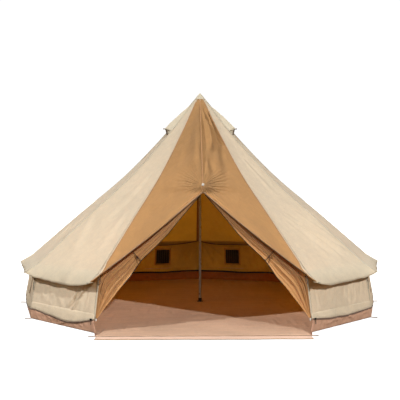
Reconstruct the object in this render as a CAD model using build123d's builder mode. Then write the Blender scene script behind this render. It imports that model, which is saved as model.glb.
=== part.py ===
"""Bell tent: a twelve-sided canvas tent on a centre pole, with an A-frame doorway.

The origin is on the ground at the foot of the centre pole, +Z is up and the doorway faces -Y.
Sizes are in millimetres. A bearing is an angle in degrees from -Y, positive towards +X.
Radii of the canvas are taken at its corners; the middle of a side is nearer the pole by in_ratio.
"""

import os
from math import cos, radians, sin

from build123d import *

os.makedirs("parts", exist_ok=True)

# ---------------------------------------------------------------- driving dimensions
side_count = 12
sector = 360 / side_count
in_ratio = cos(radians(sector / 2))
seam_gap = 1.5  # half of the clearance between two sewn panels

canvas = 3  # thickness of every canvas and groundsheet skin
apex_height = 3000
roof_profile = [(45, 2947), (490, 2420), (1060, 1830), (1730, 1265), (2400, 690), (2560, 592)]
apex_slope = (2947 - 2420) / (490 - 45)

floor_radius = 2500
tub_height = 150
wall_profile = [(2495, 153), (2395, 674)]
panel_bearings = [sector * (side + 1.5) for side in range(side_count - 2)]
corner_bearings = [sector * (corner + 1) for corner in range(side_count - 1)]

door_corner = (1205, 2368)  # front corner of the floor, as x and distance in front of the pole
lip_depth = 172
lip_fold_radius = 3

ridge_end = (1925, 1655)  # front end of the roof ridge, as distance in front and height
door_pivot = (1900, 1600)  # top of the doorway
door_tilt = 9.7  # lean of the doorway, in degrees from upright
flap_open_angle = 42.5
flap_band_angle = 6.5
flap_top = 310
flap_length = 1400
flap_thickness = 30

window_size = (260, 270)
window_height = 420
window_bearings = [75, 165, 195, 285]
cover_margin = 35
cover_offset = 9
piping_radius = 5
binding_width = 40
mesh_thickness = 1.5

vent_bearings = [75, 135, 225, 285]

pole_radius = 19
pole_wall = 1.5
pole_foot_height = 11
pole_joints = (1000, 1950, 2900)
leg_radius = 12.5
leg_joints = (60, 1130, 2215)
leg_top = Vector(0, -1905, 1625)
leg_foot = Vector(1560, -1680, 18)
shoulder = 3  # depth and width of the step that a spigot stands on
spigot_length = 100
slip_clearance = 0.1

eyelet_bore = 10
eyelet_barrel = 12.3
eyelet_flange = 18
tab_width = 42
eave_tab_height = 584
eave_tab_start = 2528
eave_eyelet_radius = 2612
peg_eyelet_radius = 2562
peg_tab_height = 1.5

zip_height = 152
zip_coil_radius = 3


# ---------------------------------------------------------------- helpers
def write(builder, name):
    """Labels a finished piece and writes it as parts/name.step."""
    builder.part.label = name
    export_step(builder.part, f"parts/{name}.step")


def at_bearing(bearing, radius, height):
    """The point at a bearing and distance from the pole, at a height above the ground."""
    angle = radians(bearing)
    return Vector(radius * sin(angle), -radius * cos(angle), height)


def flat(point):
    """The x and y of a point, for a sketch."""
    return (point.X, point.Y)


def around(bearings):
    """Places a piece drawn at bearing 0 at each bearing."""
    return Locations(*[Location((0, 0, 0), (0, 0, bearing)) for bearing in bearings])


def corner_radius_of_roof(height):
    """Corner radius of the roof at a height, from its profile."""
    for (r_high, z_high), (r_low, z_low) in zip(roof_profile, roof_profile[1:]):
        if z_low <= height <= z_high:
            return r_high + (r_low - r_high) * (z_high - height) / (z_high - z_low)
    raise ValueError("height is off the roof")


def side_panel(outline):
    """One side of the twelve-sided shell at bearing 0, from its closed outline as (corner radius, height)."""
    half_width = outline_reach(outline) * sin(radians(sector / 2)) + canvas
    reach = outline_reach(outline) + canvas
    with BuildPart() as panel:
        with BuildSketch(Plane(origin=(0, 0, 0), x_dir=(0, -1, 0), z_dir=(-1, 0, 0))):
            with BuildLine():
                Polyline(*[(radius * in_ratio, height) for radius, height in outline], close=True)
            make_face()
        extrude(amount=half_width, both=True)
        with BuildSketch(Plane.XY):
            with BuildLine():
                tip = (0, -seam_gap / sin(radians(sector / 2)))
                left = at_bearing(-sector / 2, reach, 0)
                right = at_bearing(sector / 2, reach, 0)
                trim = Vector(seam_gap * in_ratio, 0, 0)
                Polyline(tip, flat(left + trim), flat(right - trim), close=True)
            make_face()
        extrude(amount=apex_height, mode=Mode.INTERSECT)
    return panel.part


def outline_reach(outline):
    return max(radius for radius, height in outline)


def sloped_skin(profile, thickness, offset=0.0):
    """Closed outline of a sheet that hangs below a sloping profile by its vertical thickness."""
    top = [(radius, height - offset) for radius, height in profile]
    return top + [(radius, height - thickness) for radius, height in reversed(top)]


def upright_skin(profile, thickness, offset=0.0):
    """Closed outline of a steep sheet whose outer face stands off the profile by offset."""
    outer = [(radius + offset, height) for radius, height in profile]
    return outer + [(radius - thickness, height) for radius, height in reversed(outer)]


def sheet(points, thickness):
    """A flat sheet with these corners. It thickens against its normal, which faces an anticlockwise viewer."""
    first, second, third = (Vector(*point) for point in points[:3])
    plane = Plane(origin=first, x_dir=second - first, z_dir=(second - first).cross(third - first))
    with BuildPart() as piece:
        with BuildSketch(plane):
            with BuildLine():
                Polyline(*[flat(plane.to_local_coords(Vector(*point))) for point in points], close=True)
            make_face()
        extrude(amount=-thickness)
    return piece.part


def eyelet(distance, height):
    """A two-flange eyelet, in front of the pole, in a webbing tab whose underside is at height."""
    flange = 1.0
    with BuildPart() as ring:
        for level, radius, depth in (
            (height - flange, eyelet_flange, flange),
            (height, eyelet_barrel, canvas),
            (height + canvas, eyelet_flange, flange),
        ):
            with BuildSketch(Plane.XY.offset(level)):
                with Locations((0, -distance)):
                    Circle(radius)
                    Circle(eyelet_bore, mode=Mode.SUBTRACT)
            extrude(amount=depth)
    return ring.part


def webbing_tab(inner, centre, height):
    """A webbing tab pointing along -Y from inner to round its eyelet hole at centre."""
    with BuildPart() as tab:
        with BuildSketch(Plane.XY.offset(height)):
            with Locations((0, -(inner + centre) / 2)):
                Rectangle(tab_width, centre - inner)
            with Locations((0, -centre)):
                Circle(tab_width / 2)
                Circle(eyelet_barrel + 0.2, mode=Mode.SUBTRACT)
        extrude(amount=canvas)
    return tab.part


# ---------------------------------------------------------------- roof
vent_hole = [(-60, 2455), (60, 2455), (22, 2690), (-22, 2690)]

plain_gore = side_panel(sloped_skin(roof_profile, canvas))

with BuildPart() as vented_gore:
    add(plain_gore)
    with BuildSketch(Plane.XZ):
        with BuildLine():
            Polyline(*vent_hole, close=True)
        make_face()
    extrude(amount=floor_radius, mode=Mode.SUBTRACT)

with BuildPart() as roof_gores:
    with around([bearing for bearing in panel_bearings if bearing not in vent_bearings]):
        add(plain_gore)
write(roof_gores, "roof_gores")

with BuildPart() as vent_gores:
    with around(vent_bearings):
        add(vented_gore.part)
write(vent_gores, "vent_gores")

with BuildPart() as apex_cap:
    cap_radius, cap_lift, cap_skin = 76, 4, 4
    with BuildSketch(Plane.XZ):
        with BuildLine():
            Polyline(
                (0, apex_height + cap_lift),
                (cap_radius, apex_height + cap_lift - cap_radius * apex_slope),
                (cap_radius, apex_height + cap_lift + cap_skin - cap_radius * apex_slope),
                (0, apex_height + cap_lift + cap_skin),
                close=True,
            )
        make_face()
    revolve(axis=Axis.Z)
write(apex_cap, "apex_cap")


# ---------------------------------------------------------------- door gores, between the ridge and the first seams
a_line_foot_height = 705
ridge_clearance = 5
seam_clearance = 3
ridge_start = (90, 2947 - 45 * apex_slope)


def inner_edge(height):
    """The door gore's inner edge at a height: down the ridge, then along the sloping edge of the doorway."""
    foot = at_bearing(sector, corner_radius_of_roof(a_line_foot_height) - 40, a_line_foot_height)
    corners = [Vector(ridge_clearance, -reach, level) for reach, level in (roof_profile[0], ridge_start, ridge_end)]
    corners.append(foot)
    for upper, lower in zip(corners, corners[1:]):
        if height >= lower.Z:
            return upper + (lower - upper) * ((upper.Z - height) / (upper.Z - lower.Z))
    raise ValueError("height is below the doorway edge")


door_gore_heights = [height for _, height in roof_profile[:4]]
door_gore_heights += [ridge_start[1], ridge_end[1], a_line_foot_height]

with BuildPart() as door_gore_right:
    for height in sorted(door_gore_heights, reverse=True):
        inner = inner_edge(height)
        outer = at_bearing(sector, corner_radius_of_roof(height), height)
        along = (outer - inner).normalized()
        outer = outer - along * 2 * seam_clearance
        inward = Vector(-along.Y, along.X, 0) * canvas * 1.4
        with BuildSketch(Plane.XY.offset(height)):
            with BuildLine():
                corners = (inner, outer, outer + inward, inner + inward)
                Polyline(*[flat(corner) for corner in corners], close=True)
            make_face()
    loft(ruled=True)
    with BuildSketch(Plane.XY):
        with Locations((0, leg_top.Y)):
            Circle(12)
    extrude(amount=apex_height, mode=Mode.SUBTRACT)
write(door_gore_right, "door_gore_right")

with BuildPart() as door_gore_left:
    mirror(door_gore_right.part, about=Plane.YZ)
write(door_gore_left, "door_gore_left")

with BuildPart() as ridge_eyelet:
    with BuildSketch(Plane.XY.offset(leg_top.Z + 38)):
        with Locations((0, leg_top.Y)):
            Circle(11.5)
            Circle(6, mode=Mode.SUBTRACT)
    extrude(amount=10)
write(ridge_eyelet, "ridge_eyelet")


# ---------------------------------------------------------------- vents, drawn at bearing 0
hood_top = (0, -150, 2823)
hood_left = (-95, -475, 2428)
hood_right = (95, -475, 2428)
hood_tip = (0, -520, 2482)

hood_left_half = sheet([hood_top, hood_left, hood_tip], canvas)
hood_right_half = sheet([hood_top, hood_tip, hood_right], canvas)
vent_mesh = sheet([(-70, -472, 2440), (70, -472, 2440), (0, -505, 2468)], mesh_thickness)

with BuildPart() as vent_hoods:
    with around(vent_bearings):
        add(hood_left_half)
        add(hood_right_half)
write(vent_hoods, "vent_hoods")

with BuildPart() as vent_meshes:
    with around(vent_bearings):
        add(vent_mesh)
write(vent_meshes, "vent_meshes")

with BuildPart() as stay:
    stay_start, stay_end = Vector(0, -478, 2451), Vector(0, -540, 2484)
    stay_axis = Plane(origin=stay_start, z_dir=stay_end - stay_start)
    stay_length = (stay_end - stay_start).length
    with BuildSketch(stay_axis.offset(stay_length - 14)):
        Circle(8)
    extrude(amount=14)

with BuildPart() as vent_stay_tips:
    with around(vent_bearings):
        add(stay.part)
write(vent_stay_tips, "vent_stay_tips")


# ---------------------------------------------------------------- walls and windows
def window_block(width, depth):
    """A block that runs out through the wall at bearing 0, as wide and deep as a window."""
    with BuildPart() as block:
        with BuildSketch(Plane.XZ):
            with Locations((0, window_height)):
                Rectangle(width, depth)
        extrude(amount=floor_radius + tub_height)
    return block.part


window_width, window_depth = window_size
plain_wall = side_panel(upright_skin(wall_profile, canvas))
window_opening = window_block(window_width, window_depth)

with BuildPart() as wall_panels:
    with around([bearing for bearing in panel_bearings if bearing not in window_bearings]):
        add(plain_wall)
write(wall_panels, "wall_panels")

with BuildPart() as window_panel:
    add(plain_wall)
    add(window_opening, mode=Mode.SUBTRACT)

with BuildPart() as window_wall_panels:
    with around(window_bearings):
        add(window_panel.part)
write(window_wall_panels, "window_wall_panels")

mesh_sheet = side_panel(upright_skin(wall_profile, mesh_thickness, offset=-0.5))
mesh_outline = window_block(window_width - 2, window_depth - 2)
with BuildPart() as mesh_pane:
    add(mesh_sheet)
    add(mesh_outline, mode=Mode.INTERSECT)

with BuildPart() as window_meshes:
    with around(window_bearings):
        add(mesh_pane.part)
write(window_meshes, "window_meshes")

binding_sheet = side_panel(upright_skin(wall_profile, 2, offset=-canvas - 0.5))
binding_outside = window_block(window_width + binding_width, window_depth + binding_width)
binding_inside = window_block(window_width - 6, window_depth - 6)
with BuildPart() as binding:
    add(binding_sheet)
    add(binding_outside, mode=Mode.INTERSECT)
    add(binding_inside, mode=Mode.SUBTRACT)

with BuildPart() as window_bindings:
    with around(window_bearings):
        add(binding.part)
write(window_bindings, "window_bindings")

cover_width = window_width + 2 * cover_margin
cover_depth = window_depth + 2 * cover_margin
(wall_low_radius, wall_low), (wall_high_radius, wall_high) = wall_profile
wall_lean = (wall_low_radius - wall_high_radius) / (wall_high - wall_low)
cover_top = window_height + cover_depth / 2
cover_hinge_radius = (wall_low_radius - wall_lean * (cover_top - wall_low) + cover_offset) * in_ratio

cover_sheet = side_panel(upright_skin(wall_profile, canvas, offset=cover_offset))
cover_outline = window_block(cover_width, cover_depth)
with BuildPart() as cover:
    add(cover_sheet)
    add(cover_outline, mode=Mode.INTERSECT)
    with BuildSketch(Plane.YZ.offset(-cover_width / 2)):
        with Locations((-cover_hinge_radius, cover_top)):
            Circle(piping_radius)
    extrude(amount=cover_width)

for name, bearing in zip(("right", "rear_right", "rear_left", "left"), window_bearings):
    with BuildPart() as window_cover:
        with around([bearing]):
            add(cover.part)
    write(window_cover, f"window_cover_{name}")


# ---------------------------------------------------------------- groundsheet
with BuildPart() as groundsheet_floor:
    with BuildSketch(Plane.XY):
        with BuildLine():
            front_x, front_y = door_corner
            rim = [flat(at_bearing(bearing, floor_radius, 0)) for bearing in corner_bearings]
            Polyline((front_x, -front_y), *rim, (-front_x, -front_y), close=True)
        make_face()
    extrude(amount=canvas)
write(groundsheet_floor, "groundsheet_floor")

tub_side = side_panel(upright_skin([(floor_radius, canvas), (floor_radius, tub_height)], canvas))
with BuildPart() as groundsheet_sides:
    with around(panel_bearings):
        add(tub_side)
write(groundsheet_sides, "groundsheet_sides")

lip_fold_y = -front_y - lip_fold_radius

with BuildPart() as groundsheet_front_lip:
    with BuildSketch(Plane.XY):
        with Locations((0, lip_fold_y - lip_depth / 2)):
            Rectangle(2 * front_x, lip_depth)
    extrude(amount=canvas)
    with BuildSketch(Plane.YZ.offset(-front_x)):
        with Locations((lip_fold_y, lip_fold_radius)):
            Circle(lip_fold_radius)
    extrude(amount=2 * front_x)
write(groundsheet_front_lip, "groundsheet_front_lip")


# ---------------------------------------------------------------- wall zip and its sliders
tape_profile = [(floor_radius, zip_height - 14), (floor_radius, zip_height + 14)]
coil_distance = (floor_radius + canvas) * in_ratio + zip_coil_radius
coil_half_length = coil_distance * sin(radians(sector / 2)) / in_ratio - 2 * seam_gap

zip_tape = side_panel(upright_skin(tape_profile, 2, offset=canvas))
with BuildPart() as wall_zip_tapes:
    with around(panel_bearings):
        add(zip_tape)
write(wall_zip_tapes, "wall_zip_tapes")

with BuildPart() as coil:
    with BuildSketch(Plane.YZ.offset(-coil_half_length)):
        with Locations((-coil_distance, zip_height)):
            Circle(zip_coil_radius)
    extrude(amount=2 * coil_half_length)

with BuildPart() as wall_zip_coils:
    with around(panel_bearings):
        add(coil.part)
write(wall_zip_coils, "wall_zip_coils")

slider_length, slider_height, slider_depth = 30, 18, 11
pull_width, pull_thickness, pull_length = 9, 3, 62
slider_park = coil_half_length - 45

with BuildPart() as slider:
    slider_back = coil_distance - 2
    with BuildSketch(Plane.YZ.offset(slider_park - slider_length / 2)):
        with Locations((-(slider_back + slider_depth / 2), zip_height)):
            Rectangle(slider_depth, slider_height)
        with Locations((-coil_distance, zip_height)):
            Circle(zip_coil_radius + 0.3, mode=Mode.SUBTRACT)
    extrude(amount=slider_length)
    with BuildSketch(Plane.XZ.offset(slider_back + slider_depth)):
        with Locations((slider_park, zip_height - pull_length / 2)):
            RectangleRounded(pull_width, pull_length, pull_width / 2.2)
    extrude(amount=pull_thickness)

with BuildPart() as zip_slider_left:
    with around([-1.5 * sector]):
        add(slider.part)
write(zip_slider_left, "zip_slider_left")

with BuildPart() as zip_slider_right:
    mirror(zip_slider_left.part, about=Plane.YZ)
write(zip_slider_right, "zip_slider_right")


# ---------------------------------------------------------------- doorway: flaps, side panels, ties and toggles
pivot_point = Vector(0, -door_pivot[0], door_pivot[1])
door_plane = Plane(
    origin=pivot_point,
    x_dir=(1, 0, 0),
    z_dir=(0, -cos(radians(door_tilt)), sin(radians(door_tilt))),
)
flap_plane = door_plane.offset(-20)


def door_point(angle, radius):
    """A point of the doorway at an angle from straight down and a distance from its top."""
    return (radius * sin(radians(angle)), -radius * cos(radians(angle)))


with BuildPart() as door_flap_right:
    flap_outer_angle = flap_open_angle + flap_band_angle
    flap_middle_angle = flap_open_angle + flap_band_angle / 2
    with BuildSketch(flap_plane):
        with BuildLine():
            for radius in (flap_top, flap_length):
                ThreePointArc(
                    door_point(flap_open_angle, radius),
                    door_point(flap_middle_angle, radius),
                    door_point(flap_outer_angle, radius),
                )
            for angle in (flap_open_angle, flap_outer_angle):
                Line(door_point(angle, flap_top), door_point(angle, flap_length))
        make_face()
    extrude(amount=-flap_thickness)
write(door_flap_right, "door_flap_right")

with BuildPart() as door_flap_left:
    mirror(door_flap_right.part, about=Plane.YZ)
write(door_flap_left, "door_flap_left")

with BuildPart() as door_side_right:
    with BuildSketch(flap_plane):
        with BuildLine():
            Polyline(door_point(51, 1440), door_point(flap_open_angle, 1430), (1185, -1460), (1185, -930), close=True)
        make_face()
    extrude(amount=-canvas)
write(door_side_right, "door_side_right")

with BuildPart() as door_side_left:
    mirror(door_side_right.part, about=Plane.YZ)
write(door_side_left, "door_side_left")

tie_angle, tie_radius = 51.5, 1085
tie_x, tie_y = door_point(tie_angle, tie_radius)
with BuildPart() as door_ties:
    with BuildSketch(flap_plane.offset(-flap_thickness)):
        with Locations((tie_x, tie_y), (-tie_x, tie_y)):
            RectangleRounded(22, 60, 9)
    extrude(amount=-5)
write(door_ties, "door_ties")

with BuildPart() as door_corner_toggles:
    with BuildSketch(Plane.XY.offset(zip_height - 10)):
        with Locations((1222, -2192), (-1222, -2192)):
            Circle(8)
    extrude(amount=26)
    fillet(door_corner_toggles.edges().filter_by(GeomType.CIRCLE), 3)
write(door_corner_toggles, "door_corner_toggles")


# ---------------------------------------------------------------- centre pole
pole_lower_end, pole_middle_end, pole_upper_end = pole_joints
pole_bore = pole_radius - pole_wall
pole_sections = (
    ("lower", pole_foot_height, pole_lower_end, True),
    ("middle", pole_lower_end, pole_middle_end, True),
    ("upper", pole_middle_end, pole_upper_end, False),
)

for name, low, high, has_spigot in pole_sections:
    with BuildPart() as centre_pole_section:
        with BuildSketch(Plane.XY.offset(low)):
            Circle(pole_radius)
            Circle(pole_bore, mode=Mode.SUBTRACT)
        extrude(amount=high - low)
        if has_spigot:
            with BuildSketch(Plane.XY.offset(high - shoulder)):
                Circle(pole_bore)
                Circle(pole_bore - shoulder, mode=Mode.SUBTRACT)
            extrude(amount=shoulder)
            with BuildSketch(Plane.XY.offset(high)):
                Circle(pole_bore - slip_clearance)
                Circle(pole_bore - shoulder, mode=Mode.SUBTRACT)
            extrude(amount=spigot_length)
    write(centre_pole_section, f"centre_pole_{name}")

with BuildPart() as centre_pole_foot:
    foot_disc_radius, foot_cup_radius, foot_cup_top = 45, 25, 58
    with BuildSketch(Plane.XY.offset(canvas)):
        Circle(foot_disc_radius)
    extrude(amount=pole_foot_height - canvas)
    with BuildSketch(Plane.XY.offset(pole_foot_height)):
        Circle(foot_cup_radius)
        Circle(pole_radius + slip_clearance, mode=Mode.SUBTRACT)
    extrude(amount=foot_cup_top - pole_foot_height)
    chamfer(centre_pole_foot.edges().group_by(Axis.Z)[-1], 2)
write(centre_pole_foot, "centre_pole_foot")

with BuildPart() as centre_pole_finial:
    with BuildSketch(Plane.XZ):
        with BuildLine():
            Polyline(
                (0, pole_upper_end - 60),
                (pole_bore - slip_clearance, pole_upper_end - 60),
                (pole_bore - slip_clearance, pole_upper_end),
                (30, pole_upper_end),
                (30, pole_upper_end + 6),
                (12, pole_upper_end + 30),
                (5, pole_upper_end + 40),
                (5, apex_height - 16),
                (0, apex_height - 10),
                close=True,
            )
        make_face()
    revolve(axis=Axis.Z)
write(centre_pole_finial, "centre_pole_finial")


# ---------------------------------------------------------------- A-frame behind the doorway
leg_axis = Plane(origin=leg_top, z_dir=leg_foot - leg_top)
leg_start, leg_middle, leg_end = leg_joints
leg_bore = leg_radius - pole_wall

with BuildPart() as a_frame_upper_right:
    with BuildSketch(leg_axis.offset(leg_start)):
        Circle(leg_radius)
        Circle(leg_bore, mode=Mode.SUBTRACT)
    extrude(amount=leg_middle - leg_start)
write(a_frame_upper_right, "a_frame_upper_right")

with BuildPart() as a_frame_lower_right:
    with BuildSketch(leg_axis.offset(leg_middle)):
        Circle(leg_radius)
        Circle(leg_bore, mode=Mode.SUBTRACT)
    extrude(amount=leg_end - leg_middle)
    with BuildSketch(leg_axis.offset(leg_middle)):
        Circle(leg_bore)
        Circle(leg_bore - shoulder, mode=Mode.SUBTRACT)
    extrude(amount=shoulder)
    with BuildSketch(leg_axis.offset(leg_middle)):
        Circle(leg_bore - slip_clearance)
        Circle(leg_bore - shoulder, mode=Mode.SUBTRACT)
    extrude(amount=-spigot_length)
write(a_frame_lower_right, "a_frame_lower_right")

with BuildPart() as a_frame_upper_left:
    mirror(a_frame_upper_right.part, about=Plane.YZ)
write(a_frame_upper_left, "a_frame_upper_left")

with BuildPart() as a_frame_lower_left:
    mirror(a_frame_lower_right.part, about=Plane.YZ)
write(a_frame_lower_left, "a_frame_lower_left")

spike_radius, spike_top = 4.5, 1702
with BuildPart() as a_frame_peak_joint:
    with BuildSketch(leg_axis):
        Circle(leg_radius)
    extrude(amount=leg_start)
    with BuildSketch(leg_axis.offset(leg_start)):
        Circle(leg_bore - slip_clearance)
    extrude(amount=spigot_length)
    mirror(about=Plane.YZ)
    with Locations(leg_top):
        Sphere(leg_radius)
    with BuildSketch(Plane.XY.offset(leg_top.Z)):
        with Locations((0, leg_top.Y)):
            Circle(spike_radius)
    extrude(amount=spike_top - leg_top.Z)
write(a_frame_peak_joint, "a_frame_peak_joint")

with BuildPart() as peak_cap:
    cap_base, cap_height, cap_wide = spike_top - 18, 26, 15
    with BuildSketch(Plane.XY.offset(cap_base)):
        with Locations((0, leg_top.Y)):
            Circle(cap_wide)
    extrude(amount=cap_height)
    fillet(peak_cap.edges().group_by(Axis.Z)[-1], 10)
    with BuildSketch(Plane.XY.offset(cap_base)):
        with Locations((0, leg_top.Y)):
            Circle(spike_radius + slip_clearance)
    extrude(amount=spike_top - cap_base + slip_clearance, mode=Mode.SUBTRACT)
write(peak_cap, "peak_cap")

with BuildPart() as a_frame_foot:
    with BuildSketch(leg_axis.offset(leg_end + slip_clearance)):
        Circle(leg_radius + 3)
    extrude(amount=60)
    with BuildSketch(leg_axis.offset(leg_end - 35)):
        Circle(leg_radius + 3)
        Circle(leg_radius + slip_clearance, mode=Mode.SUBTRACT)
    extrude(amount=35 + slip_clearance)
    split(bisect_by=Plane.XY.offset(canvas), keep=Keep.TOP)

with BuildPart() as a_frame_feet:
    add(a_frame_foot.part)
    mirror(a_frame_foot.part, about=Plane.YZ)
write(a_frame_feet, "a_frame_feet")


# ---------------------------------------------------------------- webbing tabs and their eyelets
eave_tab = webbing_tab(eave_tab_start, eave_eyelet_radius, eave_tab_height)
eave_eyelet = eyelet(eave_eyelet_radius, eave_tab_height)
peg_tab = webbing_tab(floor_radius + 5, peg_eyelet_radius, peg_tab_height)
peg_eyelet = eyelet(peg_eyelet_radius, peg_tab_height)

with BuildPart() as eave_tabs:
    with around(corner_bearings):
        add(eave_tab)
write(eave_tabs, "eave_tabs")

with BuildPart() as eave_eyelets:
    with around(corner_bearings):
        add(eave_eyelet)
write(eave_eyelets, "eave_eyelets")

# The two front tabs stand at the floor's front corners and point sideways.
front_tab_shift = floor_radius + 5 - (front_x + 13)
front_tab_places = Locations(
    Location((-front_tab_shift, -front_y + 22, 0), (0, 0, 90)),
    Location((front_tab_shift, -front_y + 22, 0), (0, 0, -90)),
)

with BuildPart() as peg_tabs:
    with around(corner_bearings[1:-1]):
        add(peg_tab)
    with front_tab_places:
        add(peg_tab)
write(peg_tabs, "peg_tabs")

with BuildPart() as peg_eyelets:
    with around(corner_bearings[1:-1]):
        add(peg_eyelet)
    with front_tab_places:
        add(peg_eyelet)
write(peg_eyelets, "peg_eyelets")
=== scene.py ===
import math

import bmesh
import bpy
import numpy as np
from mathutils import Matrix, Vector


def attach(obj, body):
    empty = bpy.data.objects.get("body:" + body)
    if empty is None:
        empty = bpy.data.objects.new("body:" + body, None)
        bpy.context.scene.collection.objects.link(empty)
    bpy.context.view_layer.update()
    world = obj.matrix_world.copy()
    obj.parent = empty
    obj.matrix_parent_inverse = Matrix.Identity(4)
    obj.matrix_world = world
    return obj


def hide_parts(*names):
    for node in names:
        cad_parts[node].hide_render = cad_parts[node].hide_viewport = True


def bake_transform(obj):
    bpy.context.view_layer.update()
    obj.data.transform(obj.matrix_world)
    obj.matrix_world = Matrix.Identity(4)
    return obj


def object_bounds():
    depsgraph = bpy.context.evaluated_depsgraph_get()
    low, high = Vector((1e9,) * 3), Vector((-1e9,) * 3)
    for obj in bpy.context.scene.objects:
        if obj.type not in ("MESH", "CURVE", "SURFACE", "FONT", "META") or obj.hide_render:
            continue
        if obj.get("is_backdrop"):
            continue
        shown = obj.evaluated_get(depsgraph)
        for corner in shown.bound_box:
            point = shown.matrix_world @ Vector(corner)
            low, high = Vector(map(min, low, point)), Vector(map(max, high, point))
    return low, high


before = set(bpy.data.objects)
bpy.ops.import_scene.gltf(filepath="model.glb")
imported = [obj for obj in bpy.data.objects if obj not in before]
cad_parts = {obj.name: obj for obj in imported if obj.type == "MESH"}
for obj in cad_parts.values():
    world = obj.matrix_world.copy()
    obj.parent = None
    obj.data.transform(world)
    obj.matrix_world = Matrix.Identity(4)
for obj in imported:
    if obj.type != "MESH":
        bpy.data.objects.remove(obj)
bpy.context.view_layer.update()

# ---- measures, in metres and degrees
# A bearing runs from the front, -Y, towards +X. A panel is named by the bearing of its middle.
HALF_STEP = 15
HALF_SIN, HALF_COS = math.sin(math.radians(HALF_STEP)), math.cos(math.radians(HALF_STEP))
PANELS = [45 + 30 * k for k in range(10)]
CORNERS = [30 + 30 * k for k in range(11)]
BACK_CORNERS = CORNERS[1:-1]
WINDOW_PANELS = (75, 165, 195, 285)
VENT_PANELS = (75, 135, 225, 285)
WALL_FOOT_R, WALL_FOOT_Z = 2.495, 0.155
WALL_TOP_R, WALL_TOP_Z = 2.395, 0.690
EAVE_R, EAVE_Z = 2.575, 0.588
TUB_TOP = 0.148
FLOOR_RADIUS = 2.5
PANEL_WIDTH = 1.29
DOOR_X, DOOR_Y = 1.205, -2.368
RIDGE_END = np.array([0.0, -1.952, 1.606])
CANVAS = 0.0018
UP = np.array([0.0, 0.0, 1.0])


# ---- curve, noise and grid tools
def run(line):
    """Distance along a line at each of its points."""
    return np.concatenate([[0], np.cumsum(np.linalg.norm(np.diff(line, axis=0), axis=1))])


def smooth_curve(points, count):
    """Evenly spaced points on a smooth curve through the given ones."""
    pts = np.array(points, float)
    t = run(pts)
    m = np.gradient(pts, t, axis=0)
    s = np.linspace(0, t[-1], count)
    k = np.clip(np.searchsorted(t, s, "right") - 1, 0, len(t) - 2)
    h = (t[k + 1] - t[k])[:, None]
    x = ((s - t[k]) / (t[k + 1] - t[k]))[:, None]
    return ((2 * x**3 - 3 * x**2 + 1) * pts[k] + (x**3 - 2 * x**2 + x) * h * m[k]
            + (-2 * x**3 + 3 * x**2) * pts[k + 1] + (x**3 - x**2) * h * m[k + 1])


def ripple(P, scale, seed, waves=9):
    """Smooth noise in about -1 to 1. scale is the wavelength, as one number or one per axis."""
    rng = np.random.default_rng(seed)
    out = np.zeros(P.shape[:-1])
    scale = np.array(scale, float) * np.ones(3)
    for _ in range(waves):
        d = rng.normal(size=3)
        d /= np.linalg.norm(d)
        f = rng.uniform(0.6, 1.7)
        out += np.sin((P / scale) @ d * f * 2 * np.pi + rng.uniform(0, 6.283))
    return out / math.sqrt(waves) * 0.8


def breaks(points, counts):
    """Evenly divided stretches between the given numbers."""
    parts = [np.linspace(a, b, n, endpoint=False) for a, b, n in zip(points, points[1:], counts)]
    return np.concatenate(parts + [[points[-1]]])


def column(low, high, count):
    return np.linspace(low, high, count)[:, None]


def grid(*parts):
    """Points or UVs from broadcast coordinates."""
    return np.stack(np.broadcast_arrays(*parts), -1)


def polar(bearing, r, z):
    a = np.radians(bearing)
    return grid(r * np.sin(a), -r * np.cos(a), z)


def across_panel(b, r, z, t):
    """Points of panel b from its left corner, t = 0, to its right, t = 1; r and z are the corners'."""
    return polar(b - HALF_STEP, r, z) * (1 - t) + polar(b + HALF_STEP, r, z) * t


def turn(P, bearing):
    """Turns points drawn at bearing 0 to a bearing."""
    a = math.radians(bearing)
    c, s = math.cos(a), math.sin(a)
    return np.stack([P[..., 0] * c - P[..., 1] * s, P[..., 0] * s + P[..., 1] * c, P[..., 2]], -1)


def flip_x(P):
    return P * np.array([-1, 1, 1])


def facing(P, towards):
    """Normals of a grid, on the side that a direction points to."""
    n = np.cross(np.gradient(P, axis=1), np.gradient(P, axis=0))
    n = n / np.maximum(np.linalg.norm(n, axis=-1, keepdims=True), 1e-9)
    return n * np.sign(n @ np.array(towards))[..., None]


def folds(X, Y, table, wide=1.0, tall=1.0):
    """Height of soft folds, each with a trough beside it, in a sheet's own X, Y.

    A fold is its width, its height and the points of its path."""
    total = np.zeros(np.broadcast(X, Y).shape)
    for width, height, *path in table:
        path = np.array(path, float).reshape(-1, 2)
        seg = np.diff(path, axis=0)
        length = np.linalg.norm(seg, axis=1)
        best, off, along = np.full(X.shape, 1e9), np.zeros(X.shape), np.zeros(X.shape)
        for p, d, n, s0 in zip(path, seg, length, run(path)):
            t = np.clip(((X - p[0]) * d[0] + (Y - p[1]) * d[1]) / n**2, 0, 1)
            dx, dy = X - p[0] - t * d[0], Y - p[1] - t * d[1]
            far = np.hypot(dx, dy)
            near = far < best
            best = np.where(near, far, best)
            off = np.where(near, np.copysign(far, dx * d[1] - dy * d[0]), off)
            along = np.where(near, (s0 + t * n) / length.sum(), along)
        ends = np.clip(np.sin(np.pi * np.clip(along, 0, 1)) * 1.6, 0, 1)
        w = wide * width * (0.55 + 0.9 * along)
        ridge = np.exp(-(off / w) ** 2) - 0.6 * np.exp(-((off - 1.7 * w) / (1.2 * w)) ** 2)
        total += tall * height * ends * ridge
    return total


def section(line, across, up, shape):
    """Grid of a strip along a line; shape lists how far across and up each of its lines lies."""
    return np.stack([line + across * a + up * b for a, b in shape], 1)


def ribbon(path, across, up, width, height):
    """Grid of a flat tape with rounded edges laid along a path."""
    shape = ((-0.5, 0.1), (-0.36, 1), (0, 1), (0.36, 1), (0.5, 0.1))
    return section(path, np.array(across) * width, np.array(up) * height, shape)


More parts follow.
